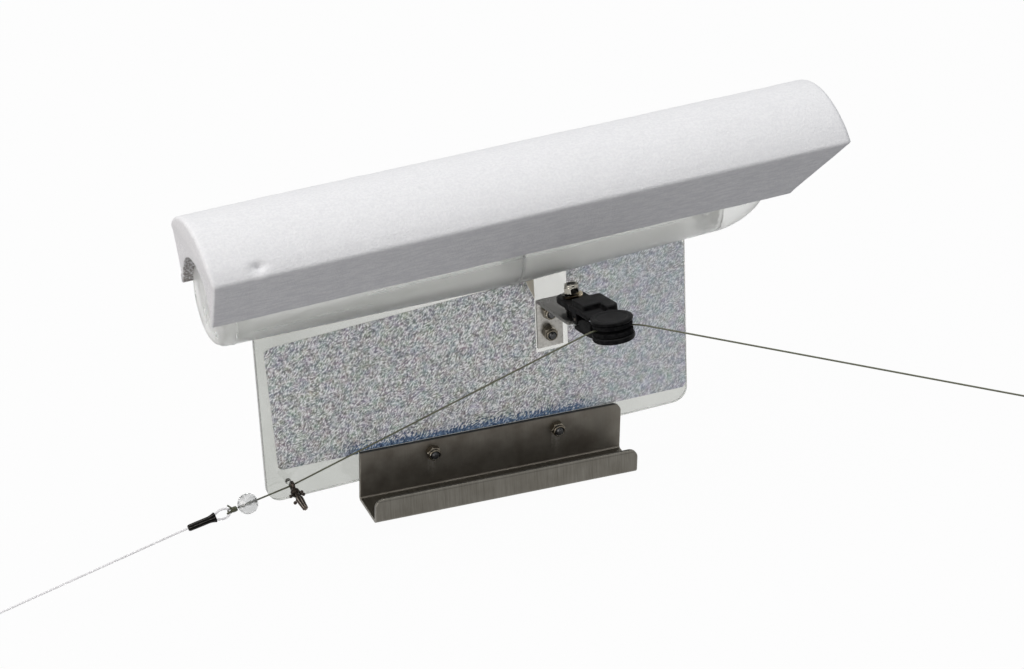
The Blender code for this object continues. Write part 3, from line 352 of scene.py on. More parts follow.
def settled(obj):
    """The object with its modifiers applied to its mesh."""
    bpy.context.view_layer.update()
    graph = bpy.context.evaluated_depsgraph_get()
    old = obj.data
    obj.data = bpy.data.meshes.new_from_object(obj.evaluated_get(graph))
    obj.modifiers.clear()
    bpy.data.meshes.remove(old)
    return obj


def carved(obj, place, cutters=(), added=()):
    """The object with shapes taken out of it or joined to it by exact Booleans."""
    helpers = []
    for operation, shapes in (("UNION", added), ("DIFFERENCE", cutters)):
        for number, shape in enumerate(shapes):
            helper = loose_object(f"{operation.lower()}_{number}", [shape], place)
            modifier = obj.modifiers.new(helper.name, "BOOLEAN")
            modifier.operation = operation
            modifier.solver = "EXACT"
            modifier.object = helper
            helpers.append(helper)
    settled(obj)
    for helper in helpers:
        bpy.data.objects.remove(helper, do_unlink=True)
    return obj


def moulded(obj, voxel, passes=4):
    """The object's overlapping shapes fused into one skin with soft inner corners."""
    remesh = obj.modifiers.new("fuse", "REMESH")
    remesh.mode = "VOXEL"
    remesh.voxel_size = voxel
    soften = obj.modifiers.new("soften", "SMOOTH")
    soften.iterations = passes
    soften.factor = 0.5
    return settled(obj)


def finished(obj, finish, body, stands_for=(), crease=35):
    """Shades a piece, gives it its finish, and lets it ride on its body for its CAD nodes."""
    obj.data.materials.clear()
    obj.data.materials.append(finish)
    obj.data.shade_smooth()
    obj.data.set_sharp_from_angle(angle=math.radians(crease))
    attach(obj, body)
    if stands_for:
        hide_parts(*stands_for)
    return obj


def piece(name, skins, place, finish, body, stands_for=(), crease=35):
    return finished(loose_object(name, skins, place), finish, body, stands_for, crease)


def ripple(points, sizes, seed):
    """A smooth uneven field: for each (wavelength, height) the mean of sine waves in five ways."""
    draw = np.random.default_rng(seed)
    total = np.zeros(len(points))
    for length, height in sizes:
        ways = draw.normal(size=(5, 3))
        ways /= np.linalg.norm(ways, axis=1)[:, None]
        turns = points @ ways.T / length * 2 * np.pi + draw.random(5) * 2 * np.pi
        total += height * np.sin(turns).mean(1)
    return total


def push_out(mesh, amount):
    """Moves each vertex along its normal by its amount."""
    spots = np.empty(len(mesh.vertices) * 3, np.float32)
    ways = np.empty(len(mesh.vertices) * 3, np.float32)
    mesh.vertices.foreach_get("co", spots)
    mesh.vertex_normals.foreach_get("vector", ways)
    spots = spots.reshape(-1, 3)
    spots += ways.reshape(-1, 3) * amount(spots.astype(float))[:, None].astype(np.float32)
    mesh.vertices.foreach_set("co", spots.ravel())
    mesh.update()


# Finishes
def add(tree, kind, inputs=(), **settings):
    """Adds a node with its settings, then joins a socket to each named input or sets its value."""
    made = tree.nodes.new("ShaderNode" + kind)
    for key, value in settings.items():
        setattr(made, key, value)
    for key, value in dict(inputs).items():
        if isinstance(value, bpy.types.NodeSocket):
            tree.links.new(value, made.inputs[key])
        else:
            made.inputs[key].default_value = value
    return made


def blend_colours(tree, factor, first, second, mode="MIX"):
    """A colour that goes from first to second by the factor; each is a socket or (r, g, b)."""
    first, second = ((*c, 1) if isinstance(c, tuple) else c for c in (first, second))
    made = add(tree, "Mix", {0: factor, 6: first, 7: second}, data_type="RGBA", blend_type=mode)
    return made.outputs[2]


def ranged(tree, value, low, high, to_low=0.0, to_high=1.0, smooth=False):
    """A value brought from one range to another, and held at the ends."""
    sockets = {"Value": value, "From Min": low, "From Max": high, "To Min": to_low, "To Max": to_high}
    kind = "SMOOTHSTEP" if smooth else "LINEAR"
    return add(tree, "MapRange", sockets, interpolation_type=kind).outputs["Result"]


def maths(tree, operation, first, second=0.0):
    return add(tree, "Math", {0: first, 1: second}, operation=operation).outputs[0]


def times(tree, first, second):
    return maths(tree, "MULTIPLY", first, second)


def plus(tree, first, second):
    return maths(tree, "ADD", first, second)


def xyz(tree, vector):
    return add(tree, "SeparateXYZ", {0: vector}).outputs


def facing_up(tree):
    """How far the surface faces up: 1 on top, 0 on walls."""
    return xyz(tree, add(tree, "NewGeometry").outputs["Normal"])["Z"]


def stretched(tree, vector, scale, turn=(0, 0, 0)):
    """The vector in axes turned by these angles, then scaled: a pattern runs long or fine there."""
    sockets = {"Vector": vector, "Scale": tuple(1 / s for s in scale), "Rotation": turn}
    return add(tree, "Mapping", sockets, vector_type="TEXTURE").outputs[0]


def in_channel(tree, at):
    """The point in the channel's own axes, which are tilted."""
    return xyz(tree, stretched(tree, at["Object"], (1, 1, 1), (0, CHANNEL_TILT, 0)))


def noise(tree, vector, scale=1.0, detail=2.0):
    return add(tree, "TexNoise", {"Vector": vector, "Scale": scale, "Detail": detail}).outputs


def new_group(name, inputs, outputs):
    """An empty node group with its sockets, and its input and output nodes."""
    tree = bpy.data.node_groups.new(name, "ShaderNodeTree")
    for socket, (kind, value) in inputs.items():
        made = tree.interface.new_socket(socket, in_out="INPUT", socket_type="NodeSocket" + kind)
        if value is not None:
            made.default_value = value
    for socket, kind in outputs.items():
        tree.interface.new_socket(socket, in_out="OUTPUT", socket_type="NodeSocket" + kind)
    return tree, tree.nodes.new("NodeGroupInput").outputs, tree.nodes.new("NodeGroupOutput").inputs


def grain_group():
    """Fine and coarse noise: their sum as a height for a bump, and the coarse one as a shade."""
    tree, given, out = new_group(
        "grain",
        {"Vector": ("Vector", None), "Fine": ("Float", 1500.0), "Coarse": ("Float", 300.0)},
        {"Height": "Float", "Shade": "Float"},
    )
    fine = noise(tree, given["Vector"], given["Fine"], 3.0)["Fac"]
    coarse = noise(tree, given["Vector"], given["Coarse"])["Fac"]
    tree.links.new(plus(tree, times(tree, coarse, 0.6), fine), out["Height"])
    tree.links.new(coarse, out["Shade"])
    return tree


def brush_group():
    """Long fine scratches: noise stretched along one axis, as a height and as a shade."""
    tree, given, out = new_group(
        "brush_marks",
        {"Vector": ("Vector", None), "Along": ("Vector", (1500.0, 40.0, 40.0))},
        {"Height": "Float", "Shade": "Float"},
    )
    drawn = add(tree, "VectorMath", {0: given["Vector"], 1: given["Along"]}, operation="MULTIPLY")
    lines = noise(tree, drawn.outputs[0], 1.0, 4.0)["Fac"]
    broad = noise(tree, drawn.outputs[0], 0.3)["Fac"]
    tree.links.new(lines, out["Height"])
    total = plus(tree, times(tree, lines, 0.7), times(tree, broad, 0.3))
    tree.links.new(total, out["Shade"])
    return tree


def wear_and_sheen_group():
    """Convex edges brightened, broken up by noise, from how sharply the surface bends: partly rubbed wear,
    partly a painted highlight on the rounding.
    """
    tree, given, out = new_group(
        "edge_wear_and_sheen",
        {"Vector": ("Vector", None), "Start": ("Float", 0.53), "Full": ("Float", 0.62)},
        {"Mask": "Float"},
    )
    bend = add(tree, "NewGeometry").outputs["Pointiness"]
    edge = ranged(tree, bend, given["Start"], given["Full"])
    broken = ranged(tree, noise(tree, given["Vector"], 900.0)["Fac"], 0.4, 0.6, 0.35, 1.0)
    tree.links.new(times(tree, edge, broken), out["Mask"])
    return tree


GRAIN = grain_group()
BRUSH = brush_group()
WEAR_AND_SHEEN = wear_and_sheen_group()


def use(tree, group, inputs):
    return add(tree, "Group", inputs, node_tree=group).outputs


def new_finish(name, **values):
    """A material with plain values on its shader; returns it, its tree and its coordinates."""
    material = bpy.data.materials.new(name)
    material.use_nodes = True
    tree = material.node_tree
    shader = tree.nodes["Principled BSDF"]
    for key, value in values.items():
        shader.inputs[key.replace("_", " ")].default_value = value
    return material, tree, add(tree, "TexCoord").outputs


def coated(material, colour, rough=None, height=None, depth=0.0, strength=1.0):
    """The material with its colour, roughness and bump joined to its shader."""
    tree = material.node_tree
    sockets = {"Base Color": colour}
    if rough:
        sockets["Roughness"] = rough
    if height:
        raise_by = {"Height": height, "Distance": depth, "Strength": strength}
        sockets["Normal"] = add(tree, "Bump", raise_by).outputs[0]
    for key, value in sockets.items():
        tree.links.new(value, tree.nodes["Principled BSDF"].inputs[key])
    return material


def foam_finish():
    """White expanded foam: fine mottled grain, faint saw lines along the length, dark pores."""
    made, tree, at = new_finish("foam_finish", Roughness=0.9, Specular_IOR_Level=0.2)
    grain = use(tree, GRAIN, {"Vector": at["Object"], "Fine": 1500.0, "Coarse": 900.0})
    saw = noise(tree, stretched(tree, at["Object"], (160, 700, 1200)), 1.0, 3.0)["Fac"]
    shade = ranged(tree, grain["Shade"], 0.36, 0.64)
    colour = blend_colours(tree, shade, (0.81, 0.81, 0.825), (0.865, 0.865, 0.875))
    spot = xyz(tree, at["Object"])
    flank = ranged(tree, spot["Z"], HULL_HEIGHT + 19 * MM, HULL_HEIGHT + 23 * MM, 0.6, 0.1)
    drawn = times(tree, ranged(tree, saw, 0.42, 0.6), flank)
    colour = blend_colours(tree, drawn, colour, (0.72, 0.72, 0.745))
    away = add(tree, "VectorMath", {0: at["Object"], 1: (0, 1, 1)}, operation="MULTIPLY").outputs[0]
    centre = (0, -ORIGIN[1], HULL_HEIGHT)
    away = add(tree, "VectorMath", {0: away, 1: centre}, operation="DISTANCE").outputs["Value"]
    bore = ranged(tree, away, HULL_RADIUS + 0.6 * MM, HULL_RADIUS + 0.9 * MM, 1.0, 0.0)
    crumbs = ranged(tree, noise(tree, at["Object"], 1100.0, 1.0)["Fac"], 0.4, 0.62, 0.75, 0.05)
    colour = blend_colours(tree, times(tree, bore, crumbs), colour, (0.22, 0.19, 0.17))
    specks = add(tree, "TexVoronoi", {"Vector": at["Object"], "Scale": 38.0, "Randomness": 1.0})
    dark = ranged(tree, specks.outputs["Distance"], 0.010, 0.016, 0.7, 0.0)
    colour = blend_colours(tree, dark, colour, (0.2, 0.19, 0.2))
    height = plus(tree, grain["Height"], times(tree, saw, 0.5))
    return coated(made, colour, None, height, 0.24 * MM, 0.8)


def hull_finish():
    """Milky moulded plastic that lets some light through, with drawn streaks along the tube."""
    made, tree, at = new_finish("hull_finish", Transmission_Weight=0.85, IOR=1.45)
    streaks = noise(tree, stretched(tree, at["Object"], (6, 120, 120)), 1.0, 4.0)["Fac"]
    shade = ranged(tree, streaks, 0.35, 0.65)
    colour = blend_colours(tree, shade, (0.94, 0.95, 0.925), (0.99, 0.99, 0.98))
    return coated(made, colour, ranged(tree, streaks, 0.3, 0.7, 0.24, 0.4), streaks, 0.1 * MM, 0.4)


def keel_finish():
    """Clear sheet, smoky to the stern and the foot, with a faint haze and fine scratches."""
    made, tree, at = new_finish("keel_finish", Transmission_Weight=0.85, IOR=1.49)
    shade = ranged(tree, noise(tree, at["Object"], 45.0, 3.0)["Fac"], 0.3, 0.7)
    colour = blend_colours(tree, shade, (0.62, 0.635, 0.6), (0.68, 0.69, 0.66))
    spot = xyz(tree, at["Object"])
    clean = times(tree, ranged(tree, spot["X"], -85 * MM, 20 * MM, 0.0, 0.85, True),
                  ranged(tree, spot["Z"], 30 * MM, 55 * MM, 0.25, 1.0))
    colour = blend_colours(tree, clean, colour, (0.93, 0.93, 0.9))
    marks = use(tree, BRUSH, {"Vector": at["Object"], "Along": (90.0, 60.0, 700.0)})
    rough = ranged(tree, marks["Shade"], 0.35, 0.65, 0.05, 0.13)
    return coated(made, colour, rough, marks["Height"], 0.02 * MM, 0.3)


def film_finish():
    """Foil with a pressed pattern: short slanted dashes in small fields, and faint tints. The dashes' light
    and dark levels and the tints are painted reflections.

    Each field takes one of two slants from its own random value. Blue flecks gather along the
    foil's lower edge: a painted reflection of the channel there.
    """
    made, tree, at = new_finish("film_finish", Metallic=0.4)
    fields = add(tree, "TexVoronoi", {"Vector": at["Object"], "Scale": 260.0})
    chance = add(tree, "SeparateColor", {0: fields.outputs["Color"]}).outputs
    slants = [noise(tree, stretched(tree, at["Object"], (700, 1800, 1800), (0, turn, 0)), 1.0, 1.0)
              for turn in (-0.95, -0.35)]
    second = ranged(tree, chance["Red"], 0.68, 0.7)
    dashes = add(tree, "Mix", {0: second, 2: slants[0]["Fac"], 3: slants[1]["Fac"]}).outputs[0]
    flecks = noise(tree, at["Object"], 1500.0, 0.0)["Fac"]
    spot = xyz(tree, at["Object"])
    calm = ranged(tree, spot["X"], 20 * MM, 60 * MM, smooth=True)
    clumps = noise(tree, at["Object"], 420.0, 1.0)["Fac"]
    mottle = plus(tree, times(tree, dashes, 0.62), times(tree, flecks, 0.22))
    mottle = plus(tree, mottle, times(tree, clumps, 0.16))
    level = ranged(tree, mottle, 0.385, 0.615)
    level = ranged(tree, level, 0.0, 1.0, ranged(tree, calm, 0.0, 1.0, 0.0, 0.14),
                   ranged(tree, calm, 0.0, 1.0, 1.0, 0.88))
    # painted reflection: the ramp turns the dash pattern into the foil's light and dark glints
    ramp = add(tree, "ValToRGB", {"Fac": level})
    stops = ramp.color_ramp.elements
    stops[0].position, stops[0].color = 0.02, (0.19, 0.195, 0.2, 1)
    stops[1].position, stops[1].color = 0.98, (0.97, 0.98, 0.98, 1)
    middle = stops.new(0.5)
    middle.color = (0.49, 0.5, 0.505, 1)
    colour = ramp.outputs["Color"]
    # painted reflection: faint rainbow tints laid over the foil
    for scale, share in ((210.0, 0.26), (700.0, 0.1)):
        colour = blend_colours(tree, share, colour, noise(tree, at["Object"], scale)["Color"], "OVERLAY")
    cool = ranged(tree, spot["X"], 10 * MM, 70 * MM, 0.0, 0.16, True)
    colour = blend_colours(tree, cool, colour, (0.48, 0.58, 0.72))
    # painted reflection: blue flecks along the lower edge, where the foil faces the channel
    near = in_channel(tree, at)
    ragged = times(tree, maths(tree, "SUBTRACT", dashes, 0.5), 14 * MM)
    edge = plus(tree, near["Z"], ragged)
    low = ranged(tree, edge, CHANNEL_BACK + 2.2 * MM, CHANNEL_BACK + 3.6 * MM, 1.0, 0.0)
    off = maths(tree, "ABSOLUTE", plus(tree, near["X"], 9.5 * MM))
    band = times(tree, low, ranged(tree, off, 48 * MM, 58 * MM, 0.9, 0.0))
    blue = blend_colours(tree, level, (0.02, 0.05, 0.13), (0.2, 0.36, 0.6))
    colour = blend_colours(tree, band, colour, blue)
    return coated(made, colour, ranged(tree, chance["Blue"], 0.0, 1.0, 0.25, 0.42), mottle, 0.08 * MM, 0.4)


def metal_finish(name, colour, bright, along, roughness=(0.24, 0.4), depth=0.03 * MM, wear_and_sheen=0.3,
                 rubbed_and_lit_edge=None, painted_top_shade=None, glint_from=None):
    """Bare metal with brush marks along one axis, small tonal drift, and brighter edges that are partly
    rubbed wear and partly a painted highlight.

    Faces that look up may be painted a shade of their own, and what lies past a given x may carry a painted
    warm glint.
    """
    made, tree, at = new_finish(name, Metallic=1.0)
    marks = use(tree, BRUSH, {"Vector": at["Object"], "Along": along})
    cloud = times(tree, noise(tree, at["Object"], 60.0, 3.0)["Fac"], 0.5)
    shade = ranged(tree, plus(tree, marks["Shade"], cloud), 0.55, 0.95)
    mixed = blend_colours(tree, shade, colour, bright)
    # painted shade: faces that look up take a colour of their own
    if painted_top_shade:
        mixed = blend_colours(tree, ranged(tree, facing_up(tree), 0.5, 0.95), mixed, painted_top_shade)
    # painted highlight: a warm glint on whatever lies past the given x
    if glint_from:
        past = ranged(tree, xyz(tree, at["Object"])["X"], glint_from, glint_from + 1.5 * MM, smooth=True)
        mixed = blend_colours(tree, past, mixed, (1, 0.86, 0.62))
    # edges brightened: partly rubbed wear, partly a painted highlight
    edges = use(tree, WEAR_AND_SHEEN, {"Vector": at["Object"]})["Mask"]
    rubbed_and_lit_edge = rubbed_and_lit_edge or tuple(min(1.0, c * 1.5) for c in bright)
    mixed = blend_colours(tree, times(tree, edges, wear_and_sheen), mixed, rubbed_and_lit_edge)
    rough = ranged(tree, marks["Shade"], 0.3, 0.7, *roughness)
    return coated(made, mixed, rough, marks["Height"], depth, 0.5)


def channel_finish():
    """Sheet steel brushed across its length, rougher with its own paler brown tone inside the tall leg,
    painted for the light there, and a painted highlight along the bends.
    """
    made, tree, at = new_finish("channel_finish", Metallic=1.0)
    marks = use(tree, BRUSH, {"Vector": at["Object"], "Along": (2600.0, 90.0, 90.0)})
    cloud = noise(tree, at["Object"], 110.0, 4.0)["Fac"]
    shade = ranged(tree, marks["Shade"], 0.3, 0.7)
    brushed = blend_colours(tree, shade, (0.115, 0.108, 0.093), (0.2, 0.19, 0.167))
    stained = ranged(tree, cloud, 0.35, 0.65, 0.0, 0.35)
    brushed = blend_colours(tree, stained, brushed, (0.09, 0.08, 0.065))
    spot = in_channel(tree, at)
    face = CHANNEL_DEPTH / 2 - SHEET
    # the tall leg's inner face takes its own paler brown tone, painted for the light it gets there, and more
    # roughness
    inside = times(tree, ranged(tree, spot["Y"], face - 0.8 * MM, face - 0.2 * MM),
                   ranged(tree, spot["Y"], face + 0.1 * MM, face + 0.4 * MM, 1.0, 0.0))
    slanted = plus(tree, spot["X"], times(tree, spot["Z"], 0.25))
    patch = ranged(tree, slanted, 48.5 * MM, 51 * MM, 1.0, 0.55, True)
    mottled = ranged(tree, cloud, 0.35, 0.65)
    inner_face_tone = blend_colours(tree, mottled, (0.14, 0.125, 0.105), (0.2, 0.185, 0.16))
    colour = blend_colours(tree, times(tree, inside, patch), brushed, inner_face_tone)
    # painted highlight along the bends and edges below the tall leg's top
    edges = use(tree, WEAR_AND_SHEEN, {"Vector": at["Object"], "Start": 0.51, "Full": 0.56})["Mask"]
    edges = times(tree, edges, ranged(tree, spot["Z"], 19 * MM, 21 * MM, 0.7, 0.0))
    colour = blend_colours(tree, edges, colour, (0.42, 0.4, 0.36))
    rim = ranged(tree, spot["Z"], CHANNEL_BACK - 0.5 * MM, CHANNEL_BACK - 0.25 * MM, 0.0, 0.9)
    off = maths(tree, "ABSOLUTE", maths(tree, "SUBTRACT", spot["Z"], CHANNEL_LIP - 1.1 * MM))
    front = ranged(tree, spot["Y"], -1 * MM, 0.0, 0.5, 0.0)
    scribed = times(tree, ranged(tree, off, 0.08 * MM, 0.2 * MM, 1.0, 0.0), front)
    colour = blend_colours(tree, maths(tree, "MAXIMUM", rim, scribed), colour, (0.03, 0.03, 0.03))
    rough = plus(tree, ranged(tree, marks["Shade"], 0.3, 0.7, 0.32, 0.46), times(tree, inside, 0.15))
    return coated(made, colour, rough, marks["Height"], 0.02 * MM, 0.4)


def plastic_finish(name, colour, roughness, grain=(2600.0, 500.0), depth=0.04 * MM, lift=0.35,
                   gloss=0.5, painted_top_light=None):
    """Moulded plastic or rubber: sparked grain, faint smudges, and paler edges that are partly rubbed wear
    and partly a painted highlight.

    Faces that look up may be paler: painted light from above.
    """
    made, tree, at = new_finish(name, IOR=1.5, Specular_IOR_Level=gloss)
    sparks = use(tree, GRAIN, {"Vector": at["Object"], "Fine": grain[0], "Coarse": grain[1]})
    edges = use(tree, WEAR_AND_SHEEN, {"Vector": at["Object"]})["Mask"]
    pale = tuple(c + 0.05 for c in colour)
    shade = ranged(tree, sparks["Shade"], 0.35, 0.65, 0.0, 0.2)
    mixed = blend_colours(tree, shade, colour, pale)
    # painted light: faces that look up are made paler
    if painted_top_light:
        mixed = blend_colours(tree, ranged(tree, facing_up(tree), 0.25, 0.85, smooth=True), mixed, painted_top_light)
    mixed = blend_colours(tree, times(tree, edges, lift), mixed, pale)
    smudge = noise(tree, at["Object"], 160.0, 3.0)["Fac"]
    rough = ranged(tree, smudge, 0.3, 0.7, roughness - 0.06, roughness + 0.08)
    return coated(made, mixed, rough, sparks["Height"], depth, 0.6)


def braid_finish(name, dark, light, pitch, roughness, depth, clear=0.0):
    """Braided or laid thread: strands that cross round the cord, drawn on its own UVs."""
    made, tree, at = new_finish(name, Roughness=roughness, Transmission_Weight=clear)
    spot = xyz(tree, at["UV"])
    turns = times(tree, spot["X"], 4 * 2 * math.pi)
    run = times(tree, spot["Y"], 2 * math.pi / pitch)
    waves = [maths(tree, "SINE", maths(tree, way, turns, run)) for way in ("ADD", "SUBTRACT")]
    weave = ranged(tree, maths(tree, "MAXIMUM", *waves), -0.4, 1.0)
    mixed = blend_colours(tree, weave, dark, light)
    mixed = blend_colours(tree, 0.25, mixed, noise(tree, at["Object"], 1200.0)["Color"], "SOFT_LIGHT")
    return coated(made, mixed, None, weave, depth, 0.8)


def streaked_finish(name, limits, dark, pale, **values):
    """Eight pale streaks along a turned piece: where cos(2 pi 8 U) passes the limits. On the crimp sleeve
    they are painted highlights.
    """
    made, tree, at = new_finish(name, **values)
    wave = maths(tree, "COSINE", times(tree, xyz(tree, at["UV"])["X"], 2 * math.pi * 8))
    broken = ranged(tree, noise(tree, at["Object"], 700.0)["Fac"], 0.35, 0.6, 0.35, 1.0)
    pale_streaks = times(tree, ranged(tree, wave, *limits, smooth=True), broken)
    return coated(made, blend_colours(tree, pale_streaks, dark, pale), ranged(tree, broken, 0.35, 1.0, 0.16, 0.26))


def bead_finish():
    """Clear acrylic, slightly clouded."""
    made, tree, at = new_finish("bead_finish", Transmission_Weight=0.85, IOR=1.49)
    cloud = noise(tree, at["Object"], 500.0)["Fac"]
    shade = ranged(tree, cloud, 0.35, 0.65)
    colour = blend_colours(tree, shade, (0.62, 0.625, 0.625), (0.75, 0.755, 0.755))
    return coated(made, colour, ranged(tree, cloud, 0.3, 0.7, 0.02, 0.1))


FOAM = foam_finish()
HULL = hull_finish()
KEEL = keel_finish()
FILM = film_finish()
BACKING = plastic_finish("backing_finish", (0.8, 0.75, 0.62), 0.7)
CHANNEL_STEEL = channel_finish()
# Bracket steel: its upward faces are painted darker as shade, and its bright edges are partly a painted
# highlight.
STAINLESS = metal_finish("stainless_finish", (0.25, 0.24, 0.225), (0.37, 0.36, 0.335),
                         (900.0, 60.0, 900.0), rubbed_and_lit_edge=(0.8, 0.78, 0.74), painted_top_shade=(0.11, 0.107, 0.105))
EVEN = (200.0, 200.0, 200.0)
# Plate nuts: edges brightened at full share, partly wear and partly a painted highlight on collar and
# corners.
ZINC = metal_finish("nut_finish", (0.08, 0.068, 0.05), (0.24, 0.215, 0.175), EVEN, (0.14, 0.24),
                    0.006 * MM, 1.0, rubbed_and_lit_edge=(0.75, 0.71, 0.62))
# Clip nut: edges brightened, partly wear and partly a painted highlight.
BRIGHT = metal_finish("bright_nut_finish", (0.26, 0.245, 0.21), (0.5, 0.48, 0.43), EVEN, (0.12, 0.2),
                      0.006 * MM, 0.8)
SCREW = metal_finish("screw_finish", (0.04, 0.04, 0.042), (0.1, 0.1, 0.1), EVEN, (0.3, 0.45), 0.006 * MM)
# Washer brass: near black over most of it as painted shade, with a painted warm glint on its part past the
# clamping screw, to the bow.
BRASS = metal_finish("brass_finish", (0.008, 0.006, 0.004), (0.025, 0.018, 0.01), EVEN, (0.16, 0.26),
                     0.01 * MM, 0.1, glint_from=CLIP[0, 3] + 0.6 * MM)
DARK_METAL = metal_finish("dark_metal_finish", (0.012, 0.009, 0.008), (0.05, 0.04, 0.034), EVEN, (0.16, 0.28))
CLASP = streaked_finish("clasp_finish", (0.2, 0.9), (0.022, 0.016, 0.013), (0.4, 0.34, 0.29), Metallic=1.0)
# Clip plastic: upward faces paler as painted light from above, and edges paler, partly as a painted
# highlight.
CLIP_BLACK = plastic_finish("clip_finish", (0.002, 0.002, 0.0023), 0.42, gloss=0.035, lift=0.3,
                            painted_top_light=(0.017, 0.017, 0.0175))
RUBBER = plastic_finish("rubber_finish", (0.004, 0.004, 0.0045), 0.8, (1800.0, 900.0), 0.08 * MM, gloss=0.03)
NYLON = plastic_finish("insert_finish", (0.012, 0.012, 0.014), 0.4, gloss=0.2)
# Sleeve: black, with its pale streaks as painted highlights.
SLEEVE = streaked_finish("sleeve_finish", (0.84, 0.97), (0.0025, 0.0025, 0.0025), (0.2, 0.18, 0.165),
                         IOR=1.5, Specular_IOR_Level=0.05)
LINE = braid_finish("line_finish", (0.035, 0.038, 0.02), (0.1, 0.105, 0.06), 0.9 * MM, 0.5, 0.06 * MM)
LEADER = braid_finish("leader_finish", (0.84, 0.82, 0.84), (0.95, 0.94, 0.95), 2.4 * MM, 0.35,
                      0.03 * MM, 0.6)
BEAD = bead_finish()


def foam_block():
    """The float: an arched section with a round groove, carried to a raked bow.

    A point goes round the section (outer side from foot to foot, then back along the groove)
    and from stern to bow, where its x ends at length + 1.2 mm * s^2 - rake * (1 - s), s being
    its height over the shoulder's.
    The end edges are quarter circles, 0.9 mm at the stern and up to 2.2 mm on the bow's arch.
    Its surface is then moved along its normals: by slow waves, by a crown that is higher at the
    stern, by a dent there, and by the dent's raised lip, the last two as bells exp(-r^2).
    """
    count = 130
    half, shoulder = FOAM_HALF_SHOULDER, FOAM_SHOULDER_HEIGHT
    radius = (half**2 + FOAM_ARCH_RISE**2) / (2 * FOAM_ARCH_RISE)
    lean = math.degrees(math.asin(half / radius))
    arch = arc((0, shoulder + FOAM_ARCH_RISE - radius), radius, 90 + lean, 90 - lean, 54)
    soft = np.zeros(len(arch))
    soft[[0, -1]] = 1.3 * MM
    corners = [(-FOAM_HALF_FOOT, 0, 0), *zip(*arch.T, soft), (FOAM_HALF_FOOT, 0, 0)]
    outer = resampled(rounded(corners, 6, closed=False), count)
    groove = arc((0, 0), HULL_RADIUS + GAP, 180, 0, count)
    ring = np.concatenate([outer, groove[::-1]])

    def bow(height):
        share = np.clip(height / shoulder, 0, 1)
        return FOAM_LENGTH + 1.2 * MM * share**2 - FOAM_RAKE * (1 - share)

    thin = 0.35 * MM + 0.3 * ring[:, 1]
    crown = np.clip((ring[:, 1] - 14 * MM) / (10 * MM), 0, 1)
    crown[count:] = 0
    stern_edge = np.minimum(0.9 * MM, thin)
    bow_edge = np.minimum((0.9 + 1.3 * crown * crown * (3 - 2 * crown)) * MM, thin)
    rows = []
    for a in np.radians(np.linspace(0, 90, 6)):
        section = inset(ring, stern_edge * (1 - math.sin(a)))
        rows.append(np.column_stack([stern_edge * (1 - math.cos(a)), section]))
    for t in np.linspace(0, 1, 150)[1:-1]:
        x = 1 * MM + t * (bow(ring[:, 1]) - 5 * MM)
        rows.append(np.column_stack([x, ring]))
    for a in np.radians(np.linspace(90, 0, 8)):
        section = inset(ring, bow_edge * (1 - math.sin(a)))
        x = bow(section[:, 1]) - bow_edge * (1 - math.cos(a))
        rows.append(np.column_stack([x, section]))
    caps = []
    for row in (rows[0], rows[-1]):
        share = np.linspace(0, 1, 9)[:, None, None]
        band = row[None, :count] * (1 - share) + row[None, count:][:, ::-1] * share
        if row is rows[-1]:
            band[..., 0] = bow(band[..., 2])
        caps.append(skin(band, open_columns=True))
    lift = np.array([0, 0, HULL_AXIS])
    skins = [skin(np.stack(rows), ends=False), *caps]
    skins = [(spots + lift, faces, uv) for spots, faces, uv in skins]
    block = loose_object("foam_block", skins, BOARD)

    dent = np.array([19.2, -24.7, 124.2]) * MM - ORIGIN
    rim = np.array([19.6, -27.9, 120.8]) * MM - ORIGIN

    def unevenness(spots):
        waves = ripple(spots, ((60 * MM, 0.16 * MM), (14 * MM, 0.08 * MM), (4 * MM, 0.03 * MM)), 3)
        pit = ((spots - dent) * [0.75, 1, 1] / (1.6 * MM)) ** 2
        bulge = ((spots - rim) * [0.75, 1, 1] / (1.5 * MM)) ** 2
        crest = np.clip((spots[:, 2] + ORIGIN[2] - HULL_AXIS - 20 * MM) / (6 * MM), 0, 1)
        along = (spots[:, 0] + ORIGIN[0]) / FOAM_LENGTH
        waves += ((0.95 - 0.85 * along) * crest - 0.1) * MM
        return waves - 2.1 * MM * np.exp(-pit.sum(1)) + 0.6 * MM * np.exp(-bulge.sum(1))

    push_out(block.data, unevenness)
    finished(block, FOAM, "board", ["foam_float"], 50)


def hull_rings(stations, radii, belly):
    """Circles about the hull's axis; below it the radius grows by the belly at the keel."""
    a = circle(128)
    x, r, b = (np.asarray(v, float)[:, None] for v in np.broadcast_arrays(stations, radii, belly))
    z = r * np.cos(a) * np.where(np.cos(a) < 0, (r + b) / r, 1)
    return surface(x, r * np.sin(a), HULL_AXIS + z)


def belly_at(station):
    """The hull's sag, straight from each cap to the seam ring."""
    stern = HULL_STERN + STERN_CAP_LENGTH
    places = (stern, SEAM_STATION, BOW_CAP_STATION)
    return np.interp(station, places, (0, HULL_BELLY, 0))


def plate_slot():
    """The room that the keel's top edge takes in the hull's underside."""
    stern, bow, low, high = PLATE_STATION - GAP, PLATE_END + GAP, 64 * MM, PLATE_HEIGHT + GAP
    outline = np.array([(stern, low), (bow, low), (bow, high), (stern, high)])
    return skin(slab(outline, -PLATE_FACE - GAP, PLATE_FACE + GAP, 0, 2))


